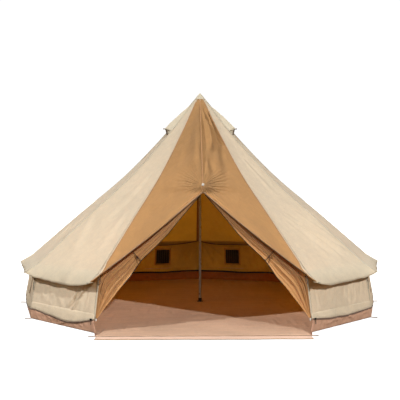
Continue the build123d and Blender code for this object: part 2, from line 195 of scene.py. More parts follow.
def over_corner(line, corner, up, shape):
    """A strip that bends over a corner of the tent; across is negative on its left."""
    return np.stack([line + polar(corner + math.copysign(97.5, a), abs(a), 0.0) + up * b for a, b in shape], 1)


def tube(path, radius, sides=8):
    """Grid of a round tube along a path; radius may change along it."""
    path = np.array(path, float)
    t = np.gradient(path, axis=0)
    t /= np.linalg.norm(t, axis=1, keepdims=True)
    up = UP if abs(t[0] @ UP) < 0.9 else np.array([1.0, 0, 0])
    a = np.linspace(0, 2 * np.pi, sides, endpoint=False)[:, None]
    rows = []
    for p, d, k in zip(path, t, np.ones(len(path)) * radius):
        up = up - (up @ d) * d
        up = up / np.linalg.norm(up)
        rows.append(p + k * (np.cos(a) * up + np.sin(a) * np.cross(d, up)))
    return np.array(rows)


class Sheet:
    """Collects grid patches and makes them one piece."""

    def __init__(self, name):
        self.name = name
        self.verts, self.faces, self.uvs = [], [], []
        self.count = 0

    def patch(self, P, uv=None, skip=None, flip=False, wrap=False):
        rows, cols = P.shape[:2]
        base = self.count
        self.verts.append(P.reshape(-1, 3))
        self.count += rows * cols
        if uv is None:
            du, dv = (np.linalg.norm(np.diff(P, axis=k), axis=-1) for k in (1, 0))
            uv = grid(np.cumsum(np.pad(du, ((0, 0), (1, 0))), 1), np.cumsum(np.pad(dv, ((1, 0), (0, 0))), 0))
        flat = uv.reshape(-1, 2)
        for i in range(rows - 1):
            for j in range(cols if wrap else cols - 1):
                if skip and skip(i, j):
                    continue
                k = (j + 1) % cols
                q = [i * cols + j, i * cols + k, (i + 1) * cols + k, (i + 1) * cols + j]
                if flip:
                    q.reverse()
                self.faces.append([base + x for x in q])
                self.uvs.extend(flat[x] for x in q)

    def capped_tube(self, path, radius, sides=8):
        P = tube(path, radius, sides)
        first, last = ([r.mean(0) + (r - r.mean(0)) * k for k in (0.02, 0.8)] for r in (P[0], P[-1]))
        self.patch(np.concatenate([first, P, last[::-1]]), wrap=True)

    def make(self, slot, materials, thickness=0.0, replaces=(), body="tent", offset=-1.0, weld=True):
        """The finished piece. A second material goes on the side that thickness adds."""
        mesh = bpy.data.meshes.new(self.name)
        mesh.from_pydata(np.concatenate(self.verts).tolist(), [], self.faces)
        layer = mesh.uv_layers.new(name="UVMap")
        layer.data.foreach_set("uv", np.array(self.uvs, np.float32).ravel())
        for m in materials:
            mesh.materials.append(m)
        obj = bpy.data.objects.new(self.name, mesh)
        bpy.context.scene.collection.objects.link(obj)
        if weld:
            bm = bmesh.new()
            bm.from_mesh(mesh)
            bmesh.ops.remove_doubles(bm, verts=bm.verts, dist=1e-4)
            bm.to_mesh(mesh)
            bm.free()
        mesh.polygons.foreach_set("use_smooth", [True] * len(mesh.polygons))
        if thickness:
            solid = obj.modifiers.new("thickness", "SOLIDIFY")
            solid.thickness = thickness
            solid.offset = offset
            solid.material_offset = len(materials) - 1
        if body:
            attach(obj, body)
        if replaces:
            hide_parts(*replaces)
        return obj


# ---- materials
def rgb(*colour):
    """An sRGB colour, 0 to 255, as linear RGBA."""
    return tuple(c / 255 / 12.92 if c <= 10 else ((c / 255 + 0.055) / 1.055) ** 2.4 for c in colour) + (1,)


class Nodes:
    """Builds the node tree of a material or of the world."""

    def __init__(self, owner, output="OutputMaterial"):
        owner.use_nodes = True
        self.owner, self.tree = owner, owner.node_tree
        self.tree.nodes.clear()
        self.out = self.add(output)

    def put(self, socket, value):
        if isinstance(value, bpy.types.NodeSocket):
            self.tree.links.new(value, socket)
        else:
            socket.default_value = value

    def add(self, kind, sockets=None, **attributes):
        """A node with its sockets set or linked, and its attributes set."""
        n = self.tree.nodes.new("ShaderNode" + kind)
        for key, value in attributes.items():
            setattr(n, key, value)
        for key, value in (sockets or {}).items():
            self.put(n.inputs[key], value)
        return n

    def finish(self, shader):
        self.put(self.out.inputs["Surface"], shader)
        return self.owner

    def coords(self, scale=(1, 1, 1), rotation=(0, 0, 0)):
        vector = self.add("TexCoord").outputs["Object"]
        return self.add("Mapping", {"Vector": vector, "Scale": scale, "Rotation": rotation}).outputs[0]

    def split(self, vector):
        return self.add("SeparateXYZ", {0: vector}).outputs

    def noise(self, vector, scale, detail=3, rough=0.55, kind="FBM"):
        values = {"Vector": vector, "Scale": scale, "Detail": detail, "Roughness": rough}
        return self.add("TexNoise", values, noise_type=kind).outputs[0]

    def ridges(self, vector, scale, detail, rough):
        return self.noise(vector, scale, detail, rough, "RIDGED_MULTIFRACTAL")

    def math(self, op, *values):
        return self.add("Math", dict(enumerate(values)), operation=op).outputs[0]

    def times(self, a, *rest):
        for b in rest:
            a = self.math("MULTIPLY", a, b)
        return a

    def plus(self, a, b):
        return self.math("ADD", a, b)

    def remap(self, value, lo, hi, to_lo, to_hi):
        values = {"Value": value, "From Min": lo, "From Max": hi, "To Min": to_lo, "To Max": to_hi}
        return self.add("MapRange", values).outputs[0]

    def mix(self, fac, a, b, blend="MIX"):
        n = self.add("Mix", data_type="RGBA", blend_type=blend)
        for name, x in (("Factor_Float", fac), ("A_Color", a), ("B_Color", b)):
            self.put(next(s for s in n.inputs if s.identifier == name), x)
        return next(s for s in n.outputs if s.identifier == "Result_Color")

    def tint(self, a, b):
        return self.mix(1.0, a, b, "MULTIPLY")

    def mix_shader(self, fac, a, b):
        return self.add("MixShader", {0: fac, 1: a, 2: b}).outputs[0]

    def bump(self, height, distance, strength=1.0, normal=None):
        values = {"Distance": distance, "Strength": strength, "Height": height}
        if normal is not None:
            values["Normal"] = normal
        return self.add("Bump", values).outputs[0]

    def wave(self, vector, pitch, direction="X"):
        """Threads, one per pitch."""
        values = {"Scale": 1 / pitch / 6.283, "Vector": vector}
        return self.add("TexWave", values, bands_direction=direction).outputs["Fac"]

    def principled(self, colour, rough, normal, **others):
        values = {"Base Color": colour, "Roughness": rough, "Normal": normal}
        values |= {key.replace("_", " "): value for key, value in others.items()}
        return self.add("BsdfPrincipled", values).outputs[0]

    def stitches(self, offsets, pitch=0.012):
        """1 on a row of stitches that runs along V at each offset from the U = 0 edge."""
        u, v, _ = self.split(self.add("TexCoord").outputs["UV"])
        dash = self.math("GREATER_THAN", self.math("FRACT", self.math("DIVIDE", v, pitch)), 0.28)
        first, second = (self.math("LESS_THAN", self.math("ABSOLUTE", self.math("SUBTRACT", u, o)), 0.0012)
                         for o in offsets)
        return self.times(self.math("MAXIMUM", first, second), dash)


AMBER = (1.0, 0.76, 0.26, 1)
RUST = (1.0, 0.55, 0.20, 1)
GOLD = (1.0, 0.80, 0.36, 1)
SPIKE_Z = 1.690


def cloth(name, colour, through=AMBER, share=0.0, rough=0.9, thread=1 / 900, crumple=0.004, dirt=0.0, dirt_top=0.5,
          stitch=None, variation=0.10, sheen=0.25, streak=0.0, painted_top_shade=1.0, pull=False, marks_and_creases=False, hem=1.0,
          eave=0.0):
    """Woven cotton: colour drift, slubs, weave, small creases, stitch rows, light that comes through it, and painted
    shade towards the roof's top and below the eave.
    """
    n = Nodes(bpy.data.materials.new(name))
    pos = n.coords()
    x, _, z = n.split(pos)
    drift = n.remap(n.noise(pos, 1.1, 4), 0.3, 0.7, 1 - variation, 1 + variation * 0.6)
    slub = n.remap(n.noise(n.coords((260, 260, 18)), 1.0, 2), 0.3, 0.7, 0.94, 1.05)
    mottle = n.remap(n.noise(pos, 14, 5, 0.65), 0.3, 0.7, 0.95, 1.04)
    level = n.times(drift, slub, mottle)
    if streak:
        level = n.plus(level, n.remap(n.noise(n.coords((1.3, 26, 26)), 1.0, 5, 0.7), 0.45, 0.78, 0, streak))
    # Painted shade: the colour darkens towards the top of the roof.
    if painted_top_shade < 1:
        level = n.times(level, n.remap(z, 0.9, 2.3, 1.0, painted_top_shade))
    col = n.tint(rgb(*colour), level)
    normal = n.bump(n.plus(n.wave(n.coords((1, 1, 0.6)), thread), n.wave(pos, thread, "Z")), 0.0004, 0.5)
    normal = n.bump(n.ridges(pos, 6.5, 4, 0.6), crumple, 0.35, normal)
    normal = n.bump(n.noise(n.coords((3, 3, 1.2)), 3.0, 4, 0.5), crumple * 3, 0.6, normal)
    if marks_and_creases:
        # Pale marks and long creases, both aslant.
        marks = n.remap(n.ridges(n.coords((8.0, 2.0, 3.0), (0, 0, 0.35)), 1.6, 6, 0.62), 0.95, 1.5, 0, 1)
        marks = n.times(marks, n.remap(n.noise(pos, 1.7, 3), 0.38, 0.58, 0, 1.0))
        col = n.mix(marks, col, rgb(240, 220, 208))
        creases = n.ridges(n.coords((9, 1.7, 1), (0, 0, 0.35)), 1.0, 5, 0.55)
        creases = n.times(creases, n.remap(n.noise(pos, 1.3, 3), 0.40, 0.62, 0.25, 1))
        normal = n.bump(creases, 0.035, 0.9, normal)
    if eave:
        # Painted shade: just below the overhang, where its shadow falls, the colour turns brown.
        painted_eave_shade = n.remap(n.plus(z, n.times(n.noise(pos, 3, 4), 0.03)), 0.475, 0.535, 0, eave)
        col = n.mix(painted_eave_shade, col, n.tint(col, (0.62, 0.42, 0.20, 1)))
    if dirt:
        low = n.math("POWER", n.remap(z, 0.0, dirt_top, 1, 0), 2.0)
        low = n.times(low, n.remap(n.noise(pos, 5, 5), 0.35, 0.65, 0.2, 1), dirt)
        col = n.mix(low, col, rgb(120, 92, 66))
    if pull:
        # Fine wrinkles radiate from the A-frame's spike.
        rise, aside = n.math("SUBTRACT", z, SPIKE_Z), n.math("ABSOLUTE", x)
        angle = n.plus(n.math("ARCTAN2", rise, aside), n.times(n.noise(pos, 5, 2), 0.22))
        far = n.math("SQRT", n.plus(n.times(rise, rise), n.times(aside, aside)))
        rays = n.plus(n.math("SINE", n.times(angle, 42)), n.times(n.math("SINE", n.times(angle, 19)), 0.8))
        near = n.times(n.remap(far, 0.02, 0.09, 0, 1), n.remap(far, 0.12, 0.40, 1, 0),
                       n.remap(angle, 0.35, 0.95, 1, 0.15))
        normal = n.bump(n.times(rays, near, n.remap(x, -0.02, 0.02, 0.5, 1.0)), 0.0060, 1.0, normal)
    if stitch:
        row = n.stitches(stitch)
        col = n.mix(n.times(row, 0.55), col, n.tint(col, (0.45, 0.40, 0.34, 1)))
        normal = n.bump(row, 0.0008, 1.0, normal)
    shader = n.principled(col, n.remap(mottle, 0.95, 1.04, rough - 0.05, rough + 0.04), normal,
                          Sheen_Weight=sheen, Specular_IOR_Level=0.25)
    if share:
        light = n.tint(col, through)
        if hem < 1:
            # The overhang is doubled, so less light comes through it.
            light = n.mix(n.remap(z, 0.66, 0.71, 1 - hem, 0), light, (0, 0, 0, 1))
        glow = n.add("BsdfTranslucent", {"Color": light, "Normal": normal}).outputs[0]
        shader = n.mix_shader(share, shader, glow)
    return n.finish(shader)


def hard(name, colour, rough, metallic=0.0, scratch=0.15, grain=(1, 1, 1), wear=None, bump=0.0004):
    """Metal or plastic with uneven gloss, fine scratches and worn, paler edges."""
    n = Nodes(bpy.data.materials.new(name))
    colour = rgb(*colour)
    cloud = n.noise(n.coords(), 12, 5, 0.6)
    fine = n.noise(n.coords(grain), 90, 3, 0.7)
    col = n.mix(n.remap(cloud, 0.35, 0.7, 0, 0.35), colour, tuple(c * 0.55 for c in colour[:3]) + (1,))
    if wear:
        edge = n.remap(n.add("NewGeometry").outputs["Pointiness"], 0.52, 0.6, 0, 0.8)
        col = n.mix(n.times(edge, cloud), col, rgb(*wear))
    gloss = n.plus(n.remap(cloud, 0.3, 0.7, rough - scratch, rough + scratch), n.remap(fine, 0.4, 0.7, -0.05, 0.05))
    return n.finish(n.principled(col, gloss, n.bump(fine, bump, 0.5), Metallic=metallic))


def webbing(name, colour, rib=0.0022):
    """Ribbed tape."""
    n = Nodes(bpy.data.materials.new(name))
    pos, colour = n.coords(), rgb(*colour)
    ribs = n.wave(pos, rib, "DIAGONAL")
    col = n.tint(colour, n.remap(n.noise(pos, 30, 4), 0.3, 0.7, 0.85, 1.1))
    col = n.mix(n.times(ribs, 0.25), col, tuple(c * 0.6 for c in colour[:3]) + (1,))
    return n.finish(n.principled(col, 0.85, n.bump(ribs, 0.0006, 0.8), Sheen_Weight=0.2))


def mesh_net(name, colour):
    """Fine insect mesh: a grid of threads with faint vertical bands; a little light passes."""
    n = Nodes(bpy.data.materials.new(name))
    colour = rgb(*colour)
    u, v, _ = n.split(n.add("TexCoord").outputs["UV"])
    threads = (n.math("LESS_THAN", n.math("FRACT", n.math("DIVIDE", k, 0.0024)), 0.62) for k in (u, v))
    lines = n.math("MAXIMUM", *threads)
    band = n.math("SINE", n.times(u, 6.283 / 0.037))
    paler = tuple(min(1.0, c * 2.4 + 0.03) for c in colour[:3]) + (1,)
    col = n.mix(n.remap(band, -0.2, 0.9, 0, 1.0), colour, paler)
    thread = n.principled(col, 0.7, n.bump(lines, 0.0004, 0.6))
    clear = n.add("BsdfTransparent").outputs[0]
    return n.finish(n.mix_shader(n.remap(lines, 0, 1, 0.75, 1.0), clear, thread))


EDGES, SEAM_EDGES = (0.006, 0.020), (0.004, 0.016)
COATED = dict(thread=1 / 500, sheen=0.1)
CREAM = cloth("canvas_cream", (241, 230, 205), AMBER, 0.38, stitch=EDGES, variation=0.05, painted_top_shade=0.92)
# Painted light: the walls' canvas is a paler copy of the roof's cream, so that the walls look as brightly lit as the
# roof; it also carries the painted shade below the eave.
CREAM_WALL_LIT = cloth("canvas_cream_wall_painted_lit", (252, 237, 210), AMBER, 0.25, dirt=0.28, stitch=EDGES, crumple=0.006,
                   eave=0.80)
TAN = cloth("canvas_tan", (210, 162, 107), GOLD, 0.30, stitch=EDGES, variation=0.07, crumple=0.005, sheen=0.08,
            painted_top_shade=0.80, pull=True)
# Painted light: the flaps are a paler copy of the door gores' tan, so that they look more brightly lit.
TAN_FLAP_LIT = cloth("canvas_tan_flap_painted_lit", (224, 174, 116), GOLD, 0.30, crumple=0.006, variation=0.08)
SEAM_CREAM = cloth("seam_cream", (222, 211, 188), AMBER, 0.20, painted_top_shade=0.92, stitch=SEAM_EDGES, variation=0.05)
SEAM_TAN = cloth("seam_tan", (180, 132, 84), AMBER, 0.08, stitch=SEAM_EDGES, variation=0.05)
BINDING = cloth("binding_brown", (112, 84, 58), thread=1 / 1400, crumple=0.001)
SHEET = cloth("groundsheet_coated", (204, 170, 144), rough=0.62, crumple=0.012, streak=0.22, variation=0.14,
              marks_and_creases=True, **COATED)
# Painted light: the inner faces are coloured amber and orange to stand in for sunlight shining through the canvas.
CREAM_INSIDE_GLOW = cloth("canvas_cream_inside_painted_glow", (248, 226, 158), AMBER, 0.62, variation=0.12, hem=0.2)
WALL_INSIDE_GLOW = cloth("canvas_wall_inside_painted_glow", (252, 230, 124), AMBER, 0.36, variation=0.22, crumple=0.020)
SIDE_INSIDE_GLOW = cloth("groundsheet_side_inside_painted_glow", (206, 138, 78), RUST, 0.30, rough=0.7, thread=1 / 500, crumple=0.012,
                    variation=0.24)
SHEET_LIP = cloth("groundsheet_lip", (232, 198, 178), rough=0.6, crumple=0.006, streak=0.15, variation=0.08, **COATED)
# Painted light: the raised side is a paler copy of the floor's coated cloth, brightened against the shade of the
# walls' hem.
SHEET_SIDE_LIT = cloth("groundsheet_side", (224, 178, 150), RUST, 0.15, rough=0.7, crumple=0.008, dirt=0.3, dirt_top=0.12,
                   variation=0.12, **COATED)
WEB_TAN = webbing("webbing_tan", (176, 140, 98))
FRAME_TAPE = webbing("webbing_window", (206, 164, 74))
WEB_PEG = webbing("webbing_peg", (172, 146, 126))
WEB_CREAM = webbing("webbing_cream", (206, 190, 160))
WEB_BROWN = webbing("webbing_brown", (122, 86, 54))
WEB_DARK = webbing("webbing_dark", (56, 60, 58))
TAPE = webbing("zip_tape_brown", (172, 136, 116), 0.0015)
NET = mesh_net("mesh_black", (20, 15, 12))
# Painted light: the vents' black mesh is coloured grey-brown, as it looks with light behind it.
VENT_NET_BACKLIT = mesh_net("mesh_vent_painted_backlit", (96, 82, 66))
STEEL = hard("tube_steel", (166, 170, 172), 0.34, 0.70, scratch=0.06, grain=(1, 1, 0.03), bump=0.00005)
BLACK_PLASTIC = hard("black_plastic", (30, 29, 28), 0.5, wear=(90, 88, 84))
WHITE_PLASTIC = hard("white_plastic", (226, 222, 214), 0.45, wear=(250, 248, 244))
ZIP_COIL = hard("zip_coil_black", (26, 24, 23), 0.45, grain=(160, 160, 160), bump=0.001)
ZIP_METAL = hard("zip_metal_black", (28, 28, 29), 0.35, 0.6, wear=(150, 148, 144))
LEATHER = hard("brown_leather", (70, 46, 30), 0.7, grain=(3, 3, 3), bump=0.001)
EYELET = hard("eyelet_steel", (140, 138, 132), 0.35, 1.0, wear=(220, 218, 210))

# ---- roof
ROWS = 78
ROOF = smooth_curve([(0.030, 2.9648), (0.49, 2.42), (1.06, 1.83), (1.73, 1.265), (2.40, 0.69)], ROWS)
roof_r, roof_z = ROOF.T
ROOF_LENGTH = run(ROOF)[-1]
HOLE_Z = (2.45, 2.70)
U_EDGE = 0.41
U_GORE = breaks([0, U_EDGE, 1 - U_EDGE, 1], [27, 10, 27])
HOLE_COLS = (27, 37)
# Where the overhang of a front panel hangs lowest.
HANG_LEAN = {315: 0.72, 45: 0.28}
# Folds of a gore, across from its middle line and down from the tip.
GORE_FOLDS = {
    45: ((0.034, 0.017, -0.18, 2.32, 0.05, 2.72, 0.27, 3.2),
         (0.034, 0.018, -0.11, 2.3, 0.2, 2.72, 0.52, 3.15), (0.028, 0.011, -0.05, 2.55, 0.22, 2.97),
         (0.03, 0.01, -0.22, 2.5, 0.05, 3.12), (0.03, 0.011, 0.14, 2.3, 0.5, 2.9),
         (0.035, 0.007, 0.02, 1.2, 0.1, 2),),
    315: ((0.07, 0.01, -0.4, 2.35, -0.15, 3.05), (0.06, 0.008, 0.05, 1.5, -0.1, 2.6),
          (0.06, 0.007, 0.2, 2.2, 0.3, 3.1),),
    75: ((0.05, 0.012, -0.2, 2.2, 0, 3), (0.045, 0.012, 0.1, 2.4, 0.35, 3.1),),
    105: ((0.05, 0.012, 0.2, 2.1, -0.1, 3), (0.04, 0.01, 0.3, 2.5, 0.1, 3.15),),
    135: ((0.05, 0.013, -0.1, 2.3, 0.25, 3.1),),
    165: ((0.05, 0.012, 0.1, 1.9, -0.2, 3), (0.04, 0.012, 0.25, 2.6, 0, 3.2),),
    195: ((0.05, 0.013, -0.15, 2.2, 0.1, 3.1),),
    225: ((0.05, 0.014, 0.15, 2.2, -0.3, 3.1), (0.04, 0.01, 0.3, 2.5, 0.05, 3.1),),
    255: ((0.05, 0.013, -0.1, 2.4, 0.3, 3.15),),
    285: ((0.05, 0.012, 0.2, 2.3, -0.1, 3.1), (0.04, 0.009, -0.3, 2.5, -0.1, 3.1),),
}


def radius_at(z):
    """Radius of a roof corner at a height, on down to the eave tip."""
    return np.interp(z, np.append(EAVE_Z, roof_z[::-1]), np.append(EAVE_R, roof_r[::-1]))


def skirt(b, u, rows=9):
    """The overhang below the wall top: pulled out straight at the corners and hanging between them."""
    u = u[:, None]
    J = across_panel(b, WALL_TOP_R + 0.005, WALL_TOP_Z, u)
    E = across_panel(b, EAVE_R, EAVE_Z, u)
    hang = np.clip(4 * u * (1 - u), 0, 1) ** 0.62
    out = polar(b, 1.0, 0.0)
    # Above a window it stays higher, clear of the cover's swing.
    tuck, drop = (0.008, 0.030) if b in WINDOW_PANELS else (0.034, 0.070)
    E = E - (out * tuck + UP * drop) * hang
    u = u[:, 0]
    if b in HANG_LEAN:
        E[:, 2] -= 0.016 * np.exp(-((u - HANG_LEAN[b]) / 0.17) ** 2) * np.clip(np.minimum(u, 1 - u) * 12, 0, 1)
    E[:, 2] += 0.006 * np.sin(np.pi * u) * ripple(E, 0.22, b + 5)
    E += out * (0.010 * np.sin(np.pi * u) * ripple(E, 0.30, b + 9))[:, None]
    K = J + (E - J) * 0.45 + (out * 0.034 + UP * 0.020) * hang
    t = np.linspace(0, 1, rows)[:, None, None]
    return J * (1 - t) ** 2 + 2 * K * t * (1 - t) + E * t * t


def gore(sheet, b):
    U = np.tile(U_GORE, (ROWS, 1))
    skip = None
    if b in VENT_PANELS:
        # The grid narrows around the hole behind the vent's hood.
        inside = [k for k in range(ROWS) if HOLE_Z[0] <= roof_z[k] <= HOLE_Z[1]]
        first, last = inside[0], inside[-1]
        for k, (r, z) in enumerate(ROOF):
            half = np.clip(np.interp(z, [2.455, 2.69], [0.060, 0.022]) / (2 * r * HALF_SIN), 0.05, 0.21)
            near = 1 if first <= k <= last else np.clip(1 - abs(z - 2.57) / 0.5, 0, 1)
            half = half * near + (0.5 - U_EDGE) * (1 - near)
            marks = [0, *HOLE_COLS, len(U_GORE) - 1]
            U[k] = np.interp(np.arange(len(U_GORE)), marks, [0, 0.5 - half, 0.5 + half, 1])
        skip = lambda i, j: first <= i < last and HOLE_COLS[0] <= j < HOLE_COLS[1]
    P = across_panel(b, roof_r[:, None], roof_z[:, None], U[..., None])
    s = column(0, 1, ROWS)
    window = np.clip(4 * U * (1 - U), 0, 1)
    P = P - polar(b, 1.0, 0.0) * (0.022 * np.sin(np.pi * s) ** 0.8 * window)[..., None]
    N = facing(P, polar(b, 1.0, 0.3))
    calm = window ** 0.5 * np.clip(s * 3, 0, 1)
    lift = calm * (0.0050 * ripple(P, 0.60, b) + 0.0018 * ripple(P, (0.14, 0.14, 0.5), b + 3))
    across = (U - 0.5) * 2 * roof_r[:, None] * HALF_SIN
    lift = lift + window ** 0.35 * folds(across, s * ROOF_LENGTH, GORE_FOLDS[b], tall=1.4)
    P = P + N * lift[..., None]
    S = skirt(b, U_GORE)[1:]
    full = np.concatenate([P, S])
    U = np.concatenate([U, np.tile(U_GORE, (len(S), 1))])
    edge = np.minimum(U, 1 - U) * np.linalg.norm(full[:, -1] - full[:, 0], axis=-1)[:, None]
    sheet.patch(full, grid(edge, run(full[:, 0])[:, None]), skip)


roof = Sheet("roof_canvas")
for b in PANELS:
    gore(roof, b)

# The tan door gores meet in a ridge from the tip to the A-frame and end in the sloping edges of the doorway.
TIP_Z, CAP_Z = 2.9648, 2.894
CORNER_TIP = polar(30, 2.562, 0.592)
DOOR_Z = breaks([TIP_Z, CAP_Z, 1.78, RIDGE_END[2], 1.42, WALL_TOP_Z, CORNER_TIP[2]], [2, 41, 13, 23, 29, 9])
RIDGE_ROW = int(np.argmin(np.abs(DOOR_Z - RIDGE_END[2])))
DOOR_U = np.linspace(0, 1, 60) ** 1.45
CREAM_STRIP = 0.058
# Folds of the right, 1, and left, -1, door gores: distance from the ridge and height.
DOOR_FOLDS = {
    1: ((0.015, -0.03, 0.046, 2.78, 0.085, 2.62, 0.15, 2.4, 0.205, 2.18),
        (0.017, -0.026, 0.11, 2.72, 0.2, 2.52, 0.255, 2.36, 0.32, 2.18),
        (0.013, -0.013, 0.018, 2.74, 0.026, 2.5, 0.03, 2.28, 0.022, 2, 0.02, 1.8),
        (0.014, 0.014, 0.07, 2.66, 0.085, 2.48, 0.12, 2.26, 0.13, 2.12),
        (0.03, -0.008, 0.26, 2.2, 0.36, 1.8), (0.022, -0.007, 0.1, 2.05, 0.16, 1.8),
        (0.05, 0.008, 0.45, 1.35, 0.85, 0.95),),
    -1: ((0.026, 0.003, 0.05, 2.6, 0.1, 2.12, 0.06, 1.8), (0.03, -0.003, 0.14, 2.45, 0.25, 1.92),
         (0.016, -0.003, 0.05, 2.3, 0.04, 1.8), (0.05, 0.008, 0.3, 1.45, 0.7, 1),),
}


def door_inner(z):
    """The ridge above the A-frame's spike, and the doorway's right edge below it."""
    if z >= RIDGE_END[2]:
        r = np.interp(z, [1.606, 1.668, CAP_Z, TIP_Z], [1.952, 1.925, 0.09, 0.030])
        k = np.clip((CAP_Z - z) / (CAP_Z - RIDGE_END[2]), 0, 1)
        return np.array([0, -r, z - 0.020 * math.sin(math.pi * k)])
    t = (RIDGE_END[2] - z) / (RIDGE_END[2] - CORNER_TIP[2])
    return RIDGE_END + (CORNER_TIP - RIDGE_END) * t - np.array([0.030, 0.012, 0]) * math.sin(math.pi * t)


def door_half(side):
    """One door gore, the cream strip outside its seam, and the gore's UVs."""
    inner = np.array([door_inner(z) for z in DOOR_Z])
    outer = polar(30, radius_at(DOOR_Z), DOOR_Z)
    span = np.linalg.norm(outer - inner, axis=1)
    share = (CREAM_STRIP * np.clip((2.3 - DOOR_Z) / 1.6, 0, 1) / np.maximum(span, 1e-3)).clip(0, 0.6)
    share = np.where(DOOR_Z < 0.80, np.maximum(share, np.clip(1 - (DOOR_Z - 0.665) / 0.16, 0, 1)), share)
    seam = outer + (inner - outer) * share[:, None]
    u, Z = DOOR_U[None, :], DOOR_Z[:, None] * np.ones((1, len(DOOR_U)))
    P = inner[:, None] * (1 - DOOR_U[:, None]) + seam[:, None] * DOOR_U[:, None]
    strip = np.stack([seam, (seam + outer) / 2, outer], 1)
    if side < 0:
        P, strip = flip_x(P), flip_x(strip)
    N = facing(P, (0.55 * side, -0.6, 0.5))
    arch = 4 * u * (1 - u)
    window = np.clip(arch, 0, 1) * np.clip((Z - 0.69) * 6, 0.0, 1)
    slack = np.clip((2.85 - Z) * 4, 0, 1)
    noise = 0.0045 * ripple(P, 0.42, 71 + side) + 0.0016 * ripple(P, (0.10, 0.3, 0.3), 75 + side)
    lift = slack * (window ** 0.4 * noise - 0.016 * window)
    # Wrinkles radiate from the A-frame's spike.
    away = P - np.array([0, -1.915, SPIKE_Z])
    reach = np.linalg.norm(away, axis=-1)
    angle = np.arctan2(away[..., 2], np.abs(away[..., 0]) + 1e-6)
    rays = np.sin(21 * angle + 1.2) + 0.6 * np.sin(37 * angle + 0.4 + side)
    fade = np.clip(reach / 0.06, 0, 1) * np.exp(-np.maximum(reach - 0.06, 0) / 0.13) * np.clip(u * 14, 0, 1)
    lift = lift + (0.0048 if side > 0 else 0.0030) * rays * fade
    lift = lift + np.clip(arch * 5, 0, 1) ** 0.5 * folds(np.abs(P[..., 0]), Z, DOOR_FOLDS[side], 1.8, 2.1)
    P = P + N * lift[..., None]
    P[:, -1] = strip[:, 0]
    return P, strip, grid(np.minimum(u, 1 - u) * span[:, None], run(P[:, 0])[:, None])


door_gores = Sheet("door_gore_canvas")
halves = {}
for side in (1, -1):
    halves[side], strip, uv = door_half(side)
    door_gores.patch(halves[side], uv, flip=side < 0)
    roof.patch(strip[1:], grid(np.full(3, 0.03), DOOR_Z[1:, None]), flip=side < 0)
roof.make("canvas_cream", [CREAM_INSIDE_GLOW, CREAM], CANVAS, ("roof_gores", "vent_gores"))
door_gores.make("canvas_tan", [TAN], CANVAS, ("door_gore_left", "door_gore_right"))

# Felled seams lie on the corners of the roof, outside, with a reinforcing tape inside.
seams, tapes = Sheet("roof_seams"), Sheet("roof_seam_tapes")
for c in BACK_CORNERS:
    t = np.linspace(0.12, 0.97, 7)
    overhang = polar(c, WALL_TOP_R + (EAVE_R - WALL_TOP_R) * t, WALL_TOP_Z + (EAVE_Z - WALL_TOP_Z) * t)
    line = np.concatenate([polar(c, roof_r, roof_z)[2:], overhang])
    along, up = run(line)[:, None], polar(c, 0.66, 0.75)
    shape = ((-0.013, 0.0002), (-0.011, 0.0028), (0, 0.0045), (0.007, 0.0028), (0.009, 0.0002))
    seams.patch(over_corner(line, c, up, shape), grid(np.array([0, 0.004, 0.012, 0.016, 0.02]), along))
    shape = ((-0.020, -0.0045), (-0.019, -0.0065), (0, -0.0050), (0.019, -0.0065), (0.020, -0.0045))
    uv = grid(np.array([0, 0.004, 0.018, 0.016, 0.02]), along[:-7])
    tapes.patch(over_corner(line[:-7], c, up, shape), uv, flip=True)
seams.make("canvas_cream", [SEAM_CREAM], 0.0008)
tapes.make("webbing_tan", [SEAM_TAN], 0.0008)

ridge = Sheet("door_gore_seams")
up = np.array([0, -0.5, 0.85])
shape = ((-0.009, 0.0045, 0), (-0.008, 0.004, 0.0018), (0, 0, 0.0026), (0.007, 0.0035, 0.0018), (0.008, 0.004, 0))
ridge.patch(np.stack([halves[1][2:RIDGE_ROW + 1, 0] + np.array([x, y, 0]) + up * rise for x, y, rise in shape], 1))
for side in (1, -1):
    n = np.array([0.5 * side, -0.55, 0.6])
    across = np.array([0.87 * side, 0.5, 0])
    ridge.patch(ribbon(halves[side][3:, -1], across, n / np.linalg.norm(n), 0.018, 0.0026), flip=side < 0)
ridge.make("canvas_tan", [SEAM_TAN], 0.0006)

# The doorway's edge has a grey-brown binding folded over both faces of the canvas, and a doubled hem behind it.
BINDING_RING = ((0.011, 0.0020), (0.007, 0.0032), (0.0, 0.0036), (-0.004, 0.0026), (-0.006, -0.0005),
                (-0.004, -0.0042), (0.0, -0.0056), (0.012, -0.0040))
HEM_BAND = ((0.004, 0.0024), (0.016, 0.0026), (0.032, 0.0026), (0.036, 0.0006))
edging, band = Sheet("doorway_binding"), Sheet("doorway_hem")
for side in (1, -1):
    P = halves[side]
    N = facing(P, (0.4 * side, -0.7, 0.5))
    line = P[RIDGE_ROW:, 0]
    band_uv = grid(np.array([0.0, 0.014, 0.030, 0.034]), np.arange(len(line))[:, None] * 0.03)
    for sheet, col, normal_col, shape, uv in ((edging, 6, 3, BINDING_RING, None), (band, 8, 5, HEM_BAND, band_uv)):
        into = P[RIDGE_ROW:, col] - line
        into /= np.maximum(np.linalg.norm(into, axis=1, keepdims=True), 1e-6)
        sheet.patch(section(line, into, N[RIDGE_ROW:, normal_col], shape), uv, flip=side < 0)
edging.make("binding_brown", [BINDING])
band.make("canvas_tan", [SEAM_TAN], 0.0006)
# A stitched seam closes the ridge below the spike.
stitching = Sheet("ridge_stitching")
stitching.capped_tube(halves[1][RIDGE_ROW - 5:RIDGE_ROW + 1, 0] + np.array([0, -0.0030, 0.0015]), 0.0016)
stitching.make("binding_brown", [BINDING], weld=False)

